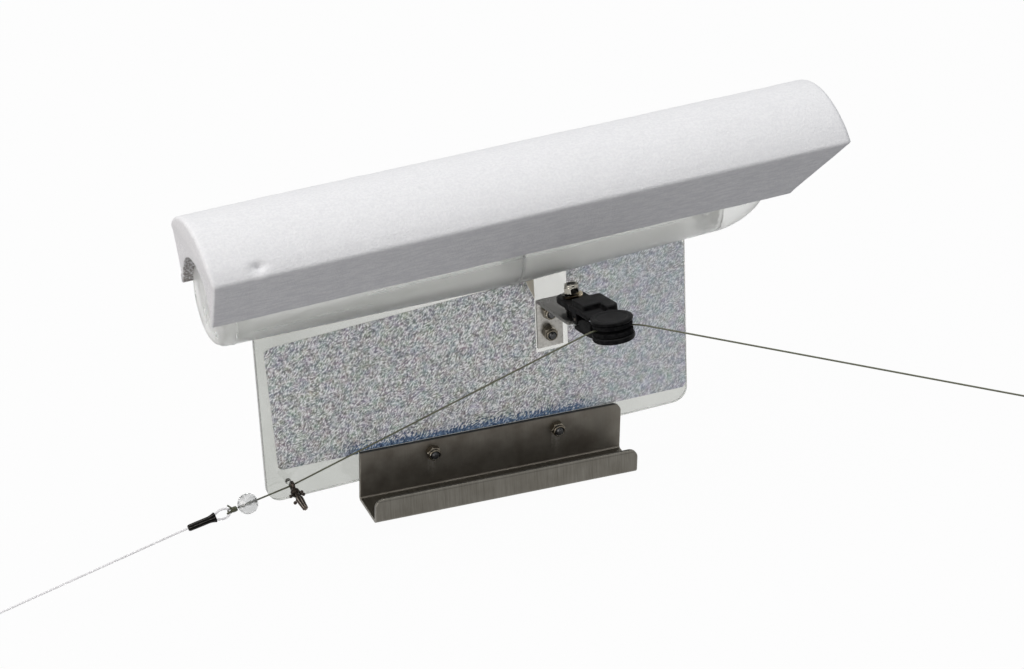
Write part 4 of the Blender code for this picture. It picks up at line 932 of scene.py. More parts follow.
def hull():
    """Two drawn tubes, the seam ring between them, the stern cap and the domed bow cap."""
    outer, bore, edge, thin = HULL_RADIUS, HULL_RADIUS - HULL_WALL, 0.15 * MM, 0.03 * MM
    seam_end = SEAM_STATION + SEAM_THICKNESS
    tubes = (
        ("hull_rear", "hull_rear_tube", HULL_STERN + STERN_CAP_LENGTH + thin, SEAM_STATION - thin),
        ("hull_front", "hull_front_tube", seam_end + thin, BOW_CAP_STATION - thin),
    )
    for name, node, start, end in tubes:
        along = np.linspace(start + edge, end - edge, 40)
        stations = np.concatenate([[start, start], along, [end, end]])
        radii = np.concatenate([[bore, outer - edge], np.full(40, outer), [outer - edge, bore]])
        rings = hull_rings(stations, radii, belly_at(stations))
        obj = carved(loose_object(name, [skin(rings, loop=True)], BOARD), FACE, [plate_slot()])
        finished(obj, HULL, "board", [node], 40)
    stations = np.array([0, 0, 0.2, 0.5, 0.8, 1, 1]) * SEAM_THICKNESS + SEAM_STATION
    radii = outer + np.array([-3, -0.25, 0.1, 0.22, 0.1, -0.25, -3]) * MM
    ring = loose_object("hull_seam", [skin(hull_rings(stations, radii, HULL_BELLY))], BOARD)
    carved(ring, FACE, [plate_slot()])
    finished(ring, HULL, "board", ["hull_seam_ring"], 40)

    spigot, bore = HULL_RADIUS - HULL_WALL - GAP, HULL_RADIUS - 2 * HULL_WALL - GAP
    corner = 5 * MM
    rim, face = outer + 0.25 * MM, STERN_CAP_LENGTH
    stern = [(0, 0), *arc((outer - corner, corner), corner, -90, 0, 16)]
    stern += [(outer, face - 0.9 * MM), (rim, face - 0.7 * MM), (rim, face - 0.1 * MM), (outer, face)]
    stern += [(spigot, face), (spigot, face + SPIGOT), (bore, face + SPIGOT)]
    stern += [(bore, 3 * HULL_WALL), (0, HULL_WALL)]
    bow = [(0, -0.2 * SPIGOT), (bore, -0.2 * SPIGOT), (bore, -SPIGOT), (spigot, -SPIGOT)]
    bow += [(spigot, 0), (outer - edge, 0)]
    a = np.linspace(0.02, np.pi / 2, 40)
    bow += [*zip(outer * np.cos(a), BOW_CAP_LENGTH * np.sin(a) ** 1.15)][:-1] + [(0, BOW_CAP_LENGTH)]
    for name, node, profile, station in (
        ("hull_stern_cap", "stern_cap", stern, HULL_STERN),
        ("hull_bow_cap", "bow_cap", bow, BOW_CAP_STATION),
    ):
        place = axes_at(np.array([station, 0, HULL_AXIS]) - ORIGIN, (0, 0, -1), (1, 0, 0))
        piece(name, [skin(turned(profile, 128))], place, HULL, "board", [node], 40)


def on_channel(x, z):
    """A point (x, z) of the channel's back in the board's axes."""
    return (CHANNEL @ np.array([x, 0, z, 1]))[:3] + ORIGIN


CHANNEL_BOLTS = [on_channel(x, CHANNEL_BOLT_HEIGHT)[[0, 2]] for x in CHANNEL_BOLT_STATIONS]
BRACKET_BOLTS = [(BRACKET_BOLT_STATION, z) for z in BRACKET_BOLT_HEIGHTS]


def rod(radius, low, high, steps=32, at=(0, 0)):
    rings = turned([(0, low), (radius, low), (radius, high), (0, high)], steps)
    return skin(rings + np.array([*at, 0]))


def keel():
    """The clear plate with its round lower corners, polished edges and drilled holes."""
    corners = (
        (PLATE_STATION, 0, PLATE_CORNER), (PLATE_END, 0, PLATE_CORNER),
        (PLATE_END, PLATE_HEIGHT, 0.5 * MM), (PLATE_STATION, PLATE_HEIGHT, 0.5 * MM),
    )
    sheet = skin(slab(rounded(corners, 12), -PLATE_FACE, PLATE_FACE, 0.3 * MM))
    hole = BOLT_RADIUS + GAP
    holes = [rod(hole, -3 * MM, 3 * MM, at=spot) for spot in (*CHANNEL_BOLTS, *BRACKET_BOLTS)]
    holes.append(rod(1 * MM, -3 * MM, 3 * MM, at=(STUD_STATION, STUD_HEIGHT)))
    plate = carved(loose_object("keel_sheet", [sheet], FACE), FACE, holes)
    finished(plate, KEEL, "board", ["keel_plate"], 40)


def film():
    """The foil on the keel, cut at its corners, round the bracket and along the channel."""
    ends = (-CHANNEL_HALF - GAP, CHANNEL_HALF - CHANNEL_CORNER)
    left, right = (on_channel(x, CHANNEL_BACK + 0.04 * MM)[[0, 2]] / MM for x in ends)
    stern, bow = np.array([27.8, 15.0]), np.array([205.5, 7.1])
    foot = np.interp(left[0], *zip(stern, bow))
    outline = np.array([
        (26.5, 16.4), tuple(stern), (left[0], foot), tuple(left), tuple(right), tuple(bow),
        (207, 8.6), (207, 77),
        (205.4, 78.7), (154.7, 77.05), (154.7, 69), (156.7, 68), (156.7, 63), (154.5, 62.4),
        (154.5, 41.2), (140.4, 41), (140.4, 66.8), (136.7, 76.47), (28.6, 72.9), (24.6, 71.6),
    ]) * MM
    face = PLATE_FACE + GAP
    rings = slab(outline, face, face + FILM_THICKNESS, 0.04 * MM, 2)
    piece("foil", [skin(rings)], FACE, FILM, "board", ["reflective_film"])
    flap = np.array([(136.75, 76.6), (140.3, 76.3), (140.45, 67.0)]) * MM
    rings = slab(resampled(np.vstack([flap, flap[:1]]), 40)[:-1], face, face + 0.12 * MM, 0.02 * MM, 2)
    curl = np.clip((rings[..., 0] - 137.5 * MM) / (3 * MM), 0, 1) ** 2
    rings[..., 2] += 0.5 * MM * curl
    piece("foil_backing", [skin(rings)], FACE, BACKING, "board")


def channel():
    """The bent sheet: its J section carried along X, lower legs at the rounded end corners.

    Near an end each leg's tip drops by r - sqrt(r^2 - d^2), where d is how far the station
    lies inside the corner of radius r. The tall leg's stern corner is square.
    """
    back, front = CHANNEL_DEPTH / 2, -CHANNEL_DEPTH / 2
    tip = 0.4 * MM
    section = rounded((
        (back, 0, CHANNEL_BEND), (back, CHANNEL_BACK, tip), (back - SHEET, CHANNEL_BACK, tip),
        (back - SHEET, SHEET, 0.8 * MM), (front + SHEET, SHEET, 0.8 * MM),
        (front + SHEET, CHANNEL_LIP, tip), (front, CHANNEL_LIP, tip), (front, 0, CHANNEL_BEND),
    ), 9)
    tall = section[:, 1] > CHANNEL_BACK - 1 * MM
    low = (section[:, 1] > CHANNEL_LIP - 1 * MM) & (section[:, 0] < 0)
    edge = 0.3 * MM
    ends = CHANNEL_HALF - CHANNEL_CORNER * (1 - np.sin(np.radians(np.linspace(90, 0, 12))))
    stations = np.concatenate([-ends, np.linspace(-ends[0], ends[0], 60)[1:-1], ends])
    rows = []
    for x in np.sort(stations):
        inside = max(0.0, abs(x) - (CHANNEL_HALF - CHANNEL_CORNER))
        drop = CHANNEL_CORNER - math.sqrt(max(0.0, CHANNEL_CORNER**2 - inside**2))
        ring = section.copy()
        ring[(tall | low) if x > 0 else low, 1] -= drop
        rest = CHANNEL_HALF - abs(x)
        if rest < edge:
            ring = inset(ring, edge - math.sqrt(max(0.0, edge**2 - (edge - rest) ** 2)))
        rows.append(np.column_stack([np.full(len(ring), x), ring]))
    trough = loose_object("ballast_trough", [skin(np.stack(rows))], CHANNEL)
    holes = [rod(BOLT_RADIUS + GAP, -back - 2 * MM, -back + 4 * MM, at=(x, CHANNEL_BOLT_HEIGHT))
             for x in CHANNEL_BOLT_STATIONS]
    carved(trough, CHANNEL @ ACROSS, holes)
    finished(trough, CHANNEL_STEEL, "board", ["ballast_channel"], 30)


def hexagon_reach(a, half_flats):
    """A hexagon's radius at each angle: half its flats over cos of the angle from a flat's middle."""
    return half_flats / np.cos((a + np.pi / 6) % (np.pi / 3) - np.pi / 6)


def nut_rings(wide=1.0):
    """A lock nut: hexagon cut by two cones, then the round collar and its rolled-in crown.

    The collar grows by the factor wide, and the hexagon by 0.4 of that growth.
    """
    a = circle(96)
    hexagon = hexagon_reach(a, NUT_FLATS / 2)
    top = NUT_HEIGHT * 0.66
    heights = np.array([0, 0.1, 0.25, 0.5, 0.5, 0.8, 0.9, 0.96, 1]) * top
    cone = np.minimum(2.75 * MM + 1.9 * heights, 2.75 * MM + 1.9 * (top - heights))
    body = np.minimum(hexagon[None], cone[:, None]) * (1 + 0.4 * (wide - 1))
    crown = arc((2.1 * MM, NUT_HEIGHT - 0.45 * MM), 0.43 * MM, 0, 110, 9)
    profile = [(2.53 * MM, top + 0.15 * MM), *crown, (INSERT_RADIUS, NUT_HEIGHT - 0.3 * MM)]
    profile += [(INSERT_RADIUS, NUT_HEIGHT - INSERT_HEIGHT), (1.56 * MM, NUT_HEIGHT - INSERT_HEIGHT)]
    radius, height = np.array([*profile, (1.56 * MM, 0)]).T
    radius = np.where(radius > INSERT_RADIUS, radius * wide, radius)
    radius = np.concatenate([body, np.repeat(radius[:, None], len(a), 1)])
    height = np.concatenate([heights, height])[:, None]
    return surface(radius * np.cos(a), radius * np.sin(a), height)


def lock_nut(name, place, node, finish, wide=1.0):
    """A lock nut and the dark ring that grips the thread inside its collar."""
    piece(name, [skin(nut_rings(wide), loop=True)], place, finish, "board", [node], 28)
    low, high = NUT_HEIGHT - INSERT_HEIGHT, NUT_HEIGHT - 0.3 * MM
    inner, outer = 1.52 * MM, INSERT_RADIUS - 0.02 * MM
    soft = arc((inner + 0.15 * MM, high - 0.15 * MM), 0.15 * MM, 90, 180, 5)
    profile = [(inner, low), (outer, low), (outer, high), *soft]
    piece(f"{name}_ring", [skin(turned(profile, 48), loop=True)], place, NYLON, "board")


def bolt_rings(grip, past=0.8 * MM):
    """A machine screw: hexagon socket, domed head, and a shank whose thread is a helix.

    The shank's radius is R - depth * |2 f - 1| with f the fraction of (height / pitch + turn).
    """
    a = circle(48)
    hexagon = hexagon_reach(a, 1 * MM)
    end = grip + NUT_HEIGHT + past
    rows = [(0, -0.9 * MM), (hexagon, -0.95 * MM), (hexagon, -1.9 * MM), (1.35 * MM, -2 * MM)]
    rows += [*(arc((1.6, -0.75), 1.2, -80, 0, 8) * MM), (2.7 * MM, -0.1 * MM), (2.6 * MM, 0)]
    pitch = 0.5 * MM
    heights = np.arange(0.05 * MM, end - 0.45 * MM, pitch / 6)
    turn = (heights[:, None] / pitch + a / (2 * np.pi)) % 1
    rows += [*zip(1.48 * MM - 0.26 * MM * np.abs(2 * turn - 1), heights)]
    rows += [(1.15 * MM, end - 0.05 * MM), (0, end)]
    radius = np.stack([np.broadcast_to(r, len(a)) for r, _ in rows])
    height = np.array([h for _, h in rows])[:, None]
    return surface(radius * np.cos(a), radius * np.sin(a), height)


def plate_fasteners():
    """Socket screws from behind the keel with their lock nuts in front."""
    head_face, nut_face = PLATE_FACE + GAP, FRONT_FACE - GAP
    spots = (*CHANNEL_BOLTS, *BRACKET_BOLTS)
    names = ("channel_{}_rear", "channel_{}_front", "bracket_{}_lower", "bracket_{}_upper")
    for turn, (name, (x, z)) in enumerate(zip(names, spots)):
        spin = np.eye(4)
        a = math.radians(11 + 17 * turn)
        spin[:2, :2] = [[math.cos(a), -math.sin(a)], [math.sin(a), math.cos(a)]]
        screw, nut = name.format("screw"), name.format("locknut")
        place = facing_front(x, z, head_face) @ spin
        piece(screw, [skin(bolt_rings(head_face - nut_face))], place, SCREW, "board",
              [name.format("bolt")], 50)
        lock_nut(nut, facing_front(x, z, nut_face) @ spin, name.format("nut"), ZINC)


def bracket():
    """The bent strip: a round-cornered section carried up the leg, round the bend and out.

    It widens from the leg's width to the flange's over 0.8 mm, 3.9 mm under the flange's root.
    """
    rise = FLANGE_OUT[[1, 2]]
    leg, bend = np.array([BACK_FACE - SHEET / 2, LEG_FOOT]), 1.0 * MM
    root = np.array([BACK_FACE - SHEET / 2, FLANGE_ROOT - SHEET / 2 * math.tan(FLANGE_RISE) - SHEET / 2])
    tip = root + rise * (FLANGE_REACH + 0.7 * MM)
    line = rounded(((*leg, 0), (*root, bend), (*tip, 0)), 12, closed=False)
    path = np.concatenate([resampled(line[:2], 30)[:-1], line[1:-1], resampled(line[-2:], 20)[1:]])
    run = np.gradient(path, axis=0)
    run /= np.linalg.norm(run, axis=1)[:, None]
    normal = np.stack([-run[:, 1], run[:, 0]], -1)
    low, high = BRACKET_STATION, BRACKET_STATION + LEG_WIDTH
    wide = np.clip((path[:, 1] - (FLANGE_ROOT - 3.9 * MM)) / (0.8 * MM), 0, 1)
    wide[path[:, 0] < root[0] - 0.2 * MM] = 1
    high = high + (FLANGE_WIDTH - LEG_WIDTH) * wide
    rows, t = [], SHEET / 2
    for spot, way, limit in zip(path, normal, high):
        corners = ((low, -t), (limit, -t), (limit, t), (low, t))
        outline = rounded([(*corner, 0.25 * MM) for corner in corners], 4)
        rows.append(np.column_stack([outline[:, 0], spot + outline[:, 1:] * way]))
    strip = loose_object("clip_bracket", [skin(np.stack(rows))], BOARD)
    holes = [rod(BOLT_RADIUS + GAP, 0, 8 * MM, at=spot) for spot in BRACKET_BOLTS]
    carved(strip, FACE, holes)
    carved(strip, CLIP, [rod(BOLT_RADIUS + GAP, -4 * MM, 2 * MM)])
    finished(strip, STAINLESS, "board", ["release_bracket"], 30)


def crosswise(outline, low, high, edge=0.3 * MM):
    """The rings of an outline drawn in (u, w) of the clip and carried across it, along v."""
    return slab(np.asarray(outline, float), low, high, edge)[..., [0, 2, 1]]


UPPER_DISC = LINE_PLANE + LINE_DIAMETER / 2 + 2 * GAP + PAD_THICKNESS
LOWER_DISC = LINE_PLANE - LINE_DIAMETER / 2 - 2 * GAP - PAD_THICKNESS


def paddle(inner, outer, way):
    """A round paddle: a soft-edged disc, dished on its outer face, which is up (1) or down (-1)."""
    dish = 0.45 * MM if way > 0 else 0.35 * MM
    edge = arc((DISC_RADIUS - 0.7 * MM, outer - way * 0.7 * MM), 0.7 * MM, 0, 90 * way, 8)
    profile = [(0, inner), (DISC_RADIUS - 0.3 * MM, inner), (DISC_RADIUS, inner + way * 0.3 * MM), *edge]
    profile += [(DISC_RADIUS - 1.8 * MM, outer), (DISC_RADIUS - 2.4 * MM, outer - way * dish * 0.8)]
    profile += [(0, outer - way * dish)]
    return skin(turned(profile, 96) + np.array([PAD_REACH, 0, 0]))


def pin_hole():
    return rod(1.3 * MM, -9 * MM, 9 * MM, at=(PIVOT_REACH, PIVOT_HEIGHT))


def upper_jaw():
    """The clamped half: round-ended body, raised block with its nose, and the round paddle."""
    half = CLIP_HALF
    shoulder = PIVOT_REACH - HUB_RADIUS - GAP
    body = rounded((
        (-7.7 * MM, -half + MM, 4.4 * MM), (8 * MM, -half + MM, 6 * MM),
        (shoulder, -half, 0.4 * MM), (shoulder, half, 0.4 * MM), (-7.7 * MM, half, 4.4 * MM),
    ), 14)
    shapes = [skin(slab(body, 2.9 * MM, 5.7 * MM, 0.6 * MM, 6))]
    boss = rounded(((-3.4 * MM, -3.2 * MM, 2.4 * MM), (shoulder, -3.2 * MM, 0.4 * MM),
                    (shoulder, 5 * MM, 0.4 * MM), (-3.4 * MM, 5 * MM, 2.4 * MM)), 10)
    shapes.append(skin(slab(boss, GAP, 3.4 * MM, 0.3 * MM)))
    beam_end, neck_end = PAD_REACH - PAD_RADIUS - GAP, PAD_REACH - DISC_RADIUS * 0.7
    for low, end in ((BEAM_HEIGHT, beam_end), (UPPER_DISC, neck_end)):
        beam = rounded(((10.5 * MM, -half, 0.3 * MM), (end, -half, 2 * MM),
                        (end, half, 2 * MM), (10.5 * MM, half, 0.3 * MM)), 8)
        shapes.append(skin(slab(beam, low, 6.5 * MM, 0.35 * MM)))
    nose = 1.6 * MM
    block = rounded((
        (12.5 * MM, -half + 0.9 * MM, 0.6 * MM), (24 * MM, -half + 0.9 * MM, 0.6 * MM),
        (24 * MM, nose, 0.5 * MM), (31.2 * MM, nose, 1.4 * MM),
        (31.2 * MM, half + 0.5 * MM, 2.6 * MM), (12.5 * MM, half + 0.5 * MM, 1.2 * MM),
    ), 8)
    shapes.append(skin(slab(block, 5 * MM, 9.2 * MM, 0.55 * MM, 6)))
    shapes.append(paddle(UPPER_DISC, UPPER_DISC + DISC_THICKNESS - 0.6 * MM, 1))
    lug = [*arc((PIVOT_REACH, PIVOT_HEIGHT), HUB_RADIUS, 180, 360, 20)]
    lug += [(PIVOT_REACH + HUB_RADIUS, 5.5 * MM), (PIVOT_REACH - HUB_RADIUS, 5.5 * MM)]
    for side in (-1, 1):
        rings = crosswise(lug, -0.75 * MM, 0.75 * MM, 0.2 * MM)
        shapes.append(skin(rings + np.array([0, side * (half - 0.75 * MM), 0])))
    jaw = loose_object("jaw_upper", shapes, CLIP)
    moulded(jaw, 0.22 * MM)
    carved(jaw, CLIP @ ACROSS, [pin_hole()])
    carved(jaw, CLIP, [rod(BOLT_RADIUS + GAP, -1 * MM, 8 * MM)])
    finished(jaw, CLIP_BLACK, "board", ["upper_jaw"], 45)


def lower_jaw():
    """The hinged half: forked knuckles, a bellied arm with its web and side rib, and the paddle."""
    inner = CLIP_HALF - 1.5 * MM - GAP
    floor = LOWER_DISC - DISC_THICKNESS
    arm_top = PIVOT_HEIGHT - 2.45 * MM
    hub = arc((PIVOT_REACH, PIVOT_HEIGHT), HUB_RADIUS, 60, 300, 24)
    side = [*hub, (18.6 * MM, -2.9 * MM), (26.2 * MM, -2.9 * MM),
            (31.7 * MM, floor), (31.7 * MM, arm_top), (18.0 * MM, arm_top)]
    shapes = [skin(crosswise(side, -inner, inner)), paddle(LOWER_DISC, floor, -1)]
    half = CLIP_HALF - 0.1 * MM
    for spots, low, high in (
        (((13.9, -1.3), (14.1, -2.9), (26.5, -2.95), (33, -2.1), (34, -0.6), (34, -0.3), (18, -0.8)),
         -half, half),
        (((18.3, -2), (33, -2), (33, 0.4), (18.4, 0.4)), -half, 0.9 * MM),
        (((18.4, -2), (31, -2), (31, 3.2), (29.5, 3.9), (26.5, 3.9), (20.5, 2.6), (18.4, 1.4)),
         -half, 1.4 * MM - half),
    ):
        outline = rounded([(u * MM, w * MM, 0.4 * MM) for u, w in spots], 4)
        shapes.append(skin(crosswise(outline, low, high)))
    jaw = loose_object("jaw_lower", shapes, CLIP)
    moulded(jaw, 0.2 * MM)
    fork = np.array([[11.2, -4.4], [17.8, -4.4], [17.8, 5.6], [11.2, 5.6]]) * MM
    carved(jaw, CLIP @ ACROSS, [skin(slab(fork, -2.28 * MM, 2.28 * MM, 0, 2)), pin_hole()])
    finished(jaw, CLIP_BLACK, "jaw", ["lower_jaw"], 45)


def clip_details():
    """Rubber pads, pivot pin, coil spring, brass washer, and the clamping screw with its nut."""
    for name, node, low, body in (
        ("pad_upper", "upper_pad", LINE_PLANE + LINE_DIAMETER / 2 + GAP, "board"),
        ("pad_lower", "lower_pad", LINE_PLANE - LINE_DIAMETER / 2 - GAP - PAD_THICKNESS, "jaw"),
    ):
        edge = 0.4 * MM
        high = low + PAD_THICKNESS
        profile = [(0, low), *arc((PAD_RADIUS - edge, low + edge), edge, -90, 0, 6),
                   *arc((PAD_RADIUS - edge, high - edge), edge, 0, 90, 6), (0, high)]
        rings = turned(profile, 96) + np.array([PAD_REACH, 0, 0])
        piece(name, [skin(rings)], CLIP, RUBBER, body, [node])
    pivot = CLIP @ moved(PIVOT_REACH, 0, PIVOT_HEIGHT)
    half, pin, end = CLIP_HALF, 1 * MM, 0.25 * MM
    profile = [(0, -half), (pin - end, -half), (pin, end - half)]
    profile += [(pin, half - end), (pin - end, half), (0, half)]
    # The pin takes the near-black metal finish as painted shade: it sits in the dark window between the
    # jaws.
    piece("hinge_pin", [skin(turned(profile, 40))], pivot @ ACROSS, DARK_METAL, "board",
          ["pivot_pin"])
    turns, pitch, coil, leg, wire = 2.5, 1.3 * MM, 1.8 * MM, 10 * MM, 0.35 * MM
    a = np.linspace(0, 2 * np.pi * turns, 90) + np.pi / 2
    drift = np.linspace(-0.5, 0.5, len(a)) * pitch * turns
    rest = BEAM_HEIGHT - GAP - wire - PIVOT_HEIGHT
    helix = np.stack([coil * np.cos(a), drift, coil * np.sin(a)], -1)
    first = np.array([[leg, drift[0], rest], [leg / 2, drift[0], rest]])
    last = np.array([[leg, drift[-1], -coil]])
    lead_in = resampled(np.vstack([first, helix[:1]]), 24)[:-1]
    lead_out = resampled(np.vstack([helix[-1:], last]), 24)[1:]
    path = np.concatenate([lead_in, helix, lead_out])
    piece("hinge_spring", [skin(tube(path, wire, 12, (0, 1, 0)))], pivot, ZINC, "jaw",
          ["jaw_spring"], 60)
    low, high, edge = WASHER_SEAT, WASHER_SEAT + 1.2 * MM, 0.18 * MM
    inner, outer = BOLT_RADIUS + GAP, 4.3 * MM
    profile = [(inner, low), (outer - edge, low), (outer, low + edge),
               (outer, high - edge), (outer - edge, high), (inner, high)]
    piece("washer", [skin(turned(profile, 72), loop=True)], CLIP, BRASS, "board",
          ["brass_washer"])
    head, nut = -SHEET - GAP, WASHER_SEAT + 0.8 * MM + GAP
    piece("clip_screw", [skin(bolt_rings(nut - head, -0.1 * MM))], CLIP @ moved(0, 0, head), SCREW,
          "board", ["clip_bolt"], 50)
    lock_nut("clip_locknut", CLIP @ moved(0, 0, nut + 0.4 * MM), "clip_nut", BRIGHT, 1.12)


STUD = facing_front(STUD_STATION, STUD_HEIGHT)


def corner_stud():
    """The stud in the keel's corner: a ball behind the keel, the line's eye and a headed pin."""
    ball, shank = 1.2 * MM, 0.75 * MM
    centre = -PLATE_FACE - GAP - ball
    profile = [(0, centre - ball), *arc((0, centre), ball, -89, 62, 24)]
    profile += [(shank, 2.45 * MM), (0, 2.45 * MM)]
    stud = loose_object("line_stud", [skin(turned(profile, 40))], STUD)
    a, b = circle(64)[:, None], circle(16)
    reach = 1.65 * MM + 0.72 * MM * np.cos(b)
    ring = surface(0.8 * MM * np.sin(b), reach * np.cos(a), reach * np.sin(a))
    eye = skin(ring + np.array([0, 0.9 * MM, 4 * MM]), loop=True)
    pin = [(0, 5.25), (0.7, 5.25), (0.7, 7.2), (1.2, 7.2), (1.2, 7.8), (0, 7.8)]
    carved(stud, STUD, added=[eye, skin(turned(np.array(pin) * MM, 32))])
    finished(stud, DARK_METAL, "board", ["corner_stud"], 40)


def swivel():
    """The barrel that spins on the stud's pin, and the two crossing wires with knobs at their ends."""
    barrel = np.array([
        (1.0, 6.5), (1.5, 6.5), (1.75, 6.62), (1.9, 6.9), (1.9, 7.3), (1.78, 7.42), (1.9, 7.55),
        (1.9, 8.35), (1.75, 8.7), (1.25, 8.9), (1.25, 12.2), (1.1, 12.5), (0.7, 12.5),
        (0.7, 14.5), (0, 14.5), (0, 8.1), (1.5, 8.1), (1.5, 6.9), (1.0, 6.9),
    ]) * MM
    shell = loose_object("swivel_body", [skin(turned(barrel, 48))], STUD)
    reach, thin, knob = 2.7 * MM, 0.35 * MM, 0.75 * MM
    ends = arc((0, reach), knob, -55, 90, 12)
    profile = [(0, -reach - knob), *(ends * [1, -1])[-2::-1], (thin, -1.9 * MM)]
    profile += [(thin, 1.9 * MM), *ends[:-1], (0, reach + knob)]
    places = {}
    for name, tilt, depth in (("long", 55, 11.5 * MM), ("short", -5, 9.8 * MM)):
        a = math.radians(tilt)
        way = np.array([math.cos(a), math.sin(a), 0])
        places[name] = axes_at((0, 0, depth), np.cross((0, 0, 1), way), way)
    hole = turned([(0, -3 * MM), (thin + GAP, -3 * MM), (thin + GAP, 3 * MM), (0, 3 * MM)], 20)
    carved(shell, STUD, [skin(placed(hole, place)) for place in places.values()])
    finished(shell, DARK_METAL, "snap", ["swivel_barrel"], 40)
    for name, place in places.items():
        piece(f"cross_wire_{name}", [skin(turned(profile, 24))], STUD @ place, DARK_METAL, "snap",
              [f"snap_wire_{name}"])


def clasp():
    """The tapered clasp on the barrel's front pin, ribbed along its length."""
    start, length = 12.5 * MM + GAP, 7.4 * MM
    a = circle(128)
    share = np.array([0, 0.02, 0.25, 0.5, 0.75, 0.97, 1.0])
    reach = (1.75 - 0.55 * share - np.array([0.25, 0, 0, 0, 0, 0, 0.2])) * MM
    ribs = 0.5 + 0.5 * np.cos(8 * a)
    radius = reach[:, None] * (0.8 + 0.2 * ribs[None] ** 0.6)
    bore = np.full((2, len(a)), 1.0 * MM)
    radius = np.concatenate([bore, radius, np.zeros((1, len(a)))])
    height = np.concatenate([[2.1 * MM, 0], share * length, [length]]) + start
    rings = surface(radius * np.cos(a), radius * np.sin(a), height[:, None])
    piece("ribbed_clasp", [skin(rings)], STUD, CLASP, "snap", ["snap_clasp"], 50)


def clip_point(u, v, w=LINE_PLANE):
    """A point of the clip's frame in the board's axes."""
    return placed(np.array([[u, v, w]]), CLIP)[0] + ORIGIN


def between(start, end, shares):
    return [start + (end - start) * share for share in shares]


def wound_knot(turns, radius, length, thick, tags):
    """Skins of a barrel knot along Z: a helix of thread round a core, and straight tag ends."""
    a = np.linspace(0, 2 * np.pi * turns, int(24 * turns))
    swell = radius - thick * 0.5 - 0.12 * radius * np.abs(np.linspace(-1, 1, len(a))) ** 3
    climb = np.linspace(0.4 * thick, length - 0.4 * thick, len(a))
    helix = surface(swell * np.cos(a), swell * np.sin(a), climb)
    shapes = [skin(tube(helix, thick / 2, 10)), rod(radius - thick * 0.8, 0, length, 16)]
    for tilt, reach, height in tags:
        way = np.array([math.sin(tilt), 0.12, math.cos(tilt)])
        path = np.array([0, 0, height]) + way * np.linspace(0, reach, 8)[:, None]
        path[:, 1] += 0.15 * MM * np.linspace(0, 1, 8) ** 2
        shapes.append(skin(tube(path, thick * 0.6, 10, (0, 1, 0))))
    return shapes


def end_knot(name, before, end, finish, node):
    """A small wound knot just past the end of a cord."""
    along = unit(end - before)
    side = unit(np.cross(along, (0, 0, 1)))
    place = axes_at(end + along * GAP - ORIGIN, side, along)
    shapes = wound_knot(3.2, 1.1 * MM, 2.8 * MM, 0.75 * MM, ())
    return piece(name, shapes, place, finish, "board", [node], 60)


def bead_rings():
    """A ball cut by flat facets on five belts, with a bore along Z for the line."""
    reach = BEAD_RADIUS
    lean = math.asin((LINE_DIAMETER / 2 + GAP) / reach)
    u, v = np.linspace(-math.pi / 2 + lean, math.pi / 2 - lean, 49)[:, None], circle(96)
    ways = surface(np.cos(u) * np.cos(v), np.cos(u) * np.sin(v), np.sin(u))
    cuts = []
    for tilt, count in ((0, 10), (38, 8), (-38, 8), (68, 4), (-68, 4)):
        spin = 2 * np.pi * (np.arange(count) + 0.5 * (tilt != 0)) / count
        c, s = math.cos(math.radians(tilt)), math.sin(math.radians(tilt))
        cuts.append(surface(c * np.cos(spin), c * np.sin(spin), s))
    facing = (ways @ np.concatenate(cuts).T).max(-1)
    ball = ways * np.minimum(reach, reach * 0.962 / facing)[..., None]
    bore = turned([(reach * math.sin(lean), s * 0.9 * reach) for s in (1, 0.3, -0.3, -1)], 96)
    return np.concatenate([ball, bore])


def line_knot():
    """Skins of the line's knot: its wraps, two tag ends, and the small eye that holds the loop."""
    tags = ((math.radians(-52), 3.2 * MM, 1.4 * MM), (math.radians(10), 3.4 * MM, 1.4 * MM))
    a, b = circle(48)[:, None], circle(12)
    wide = 0.85 * MM + 0.3 * MM * np.cos(b)
    eye = surface(wide * np.cos(a), 0.3 * MM * np.sin(b), wide * np.sin(a))
    wraps = wound_knot(4.3, 1.2 * MM, 2.5 * MM, 0.6 * MM, tags)
    return [*wraps, skin(eye + np.array([0, 0, 3.1 * MM]), loop=True)]


def loop_rings(tip, mouth):
    """The loop's thread: from the sleeve's mouth out round the knot's eye at the tip, and back."""
    shares = ((1, 0.3), (0.72, 0.78), (0.4, 1), (0.13, 0.72))
    side = np.array([(wide * 1.9 * MM, 0, tip + far_on * (mouth - tip)) for far_on, wide in shares])
    route = np.vstack([side, [(0, 0, tip)], side[::-1] * [-1, 1, 1]])
    return tube(smooth_route(route, 0.25 * MM), 0.48 * MM, 12, (0, 1, 0))


def sleeve_rings(seat, end):
    """The crimp sleeve: a flared, rolled mouth that narrows to the body, and a small bore at its end."""
    flare, body, bore, rim = 2.15 * MM, 1.45 * MM, 0.55 * MM, SLEEVE_REACH + 0.1 * MM
    profile = [(0, seat), (flare - 0.85 * MM, seat), (flare - 0.42 * MM, rim)]
    profile += [(flare - 0.25 * MM, SLEEVE_REACH), (flare - 0.08 * MM, rim)]
    slope = np.linspace(0, 1, 14)
    narrowed = flare - (flare - body) * (1 - (1 - slope) ** 1.8)
    profile += [*zip(narrowed, SLEEVE_REACH + (0.3 + 3.1 * slope) * MM)]
    profile += [(body, end - 4 * MM), (body * 0.97, end - 0.9 * MM), (body * 0.9, end - 0.35 * MM)]
    profile += [(body * 0.72, end), (bore, end), (bore, end - 0.6 * MM), (0, end - 0.6 * MM)]
    return turned(profile, 72)


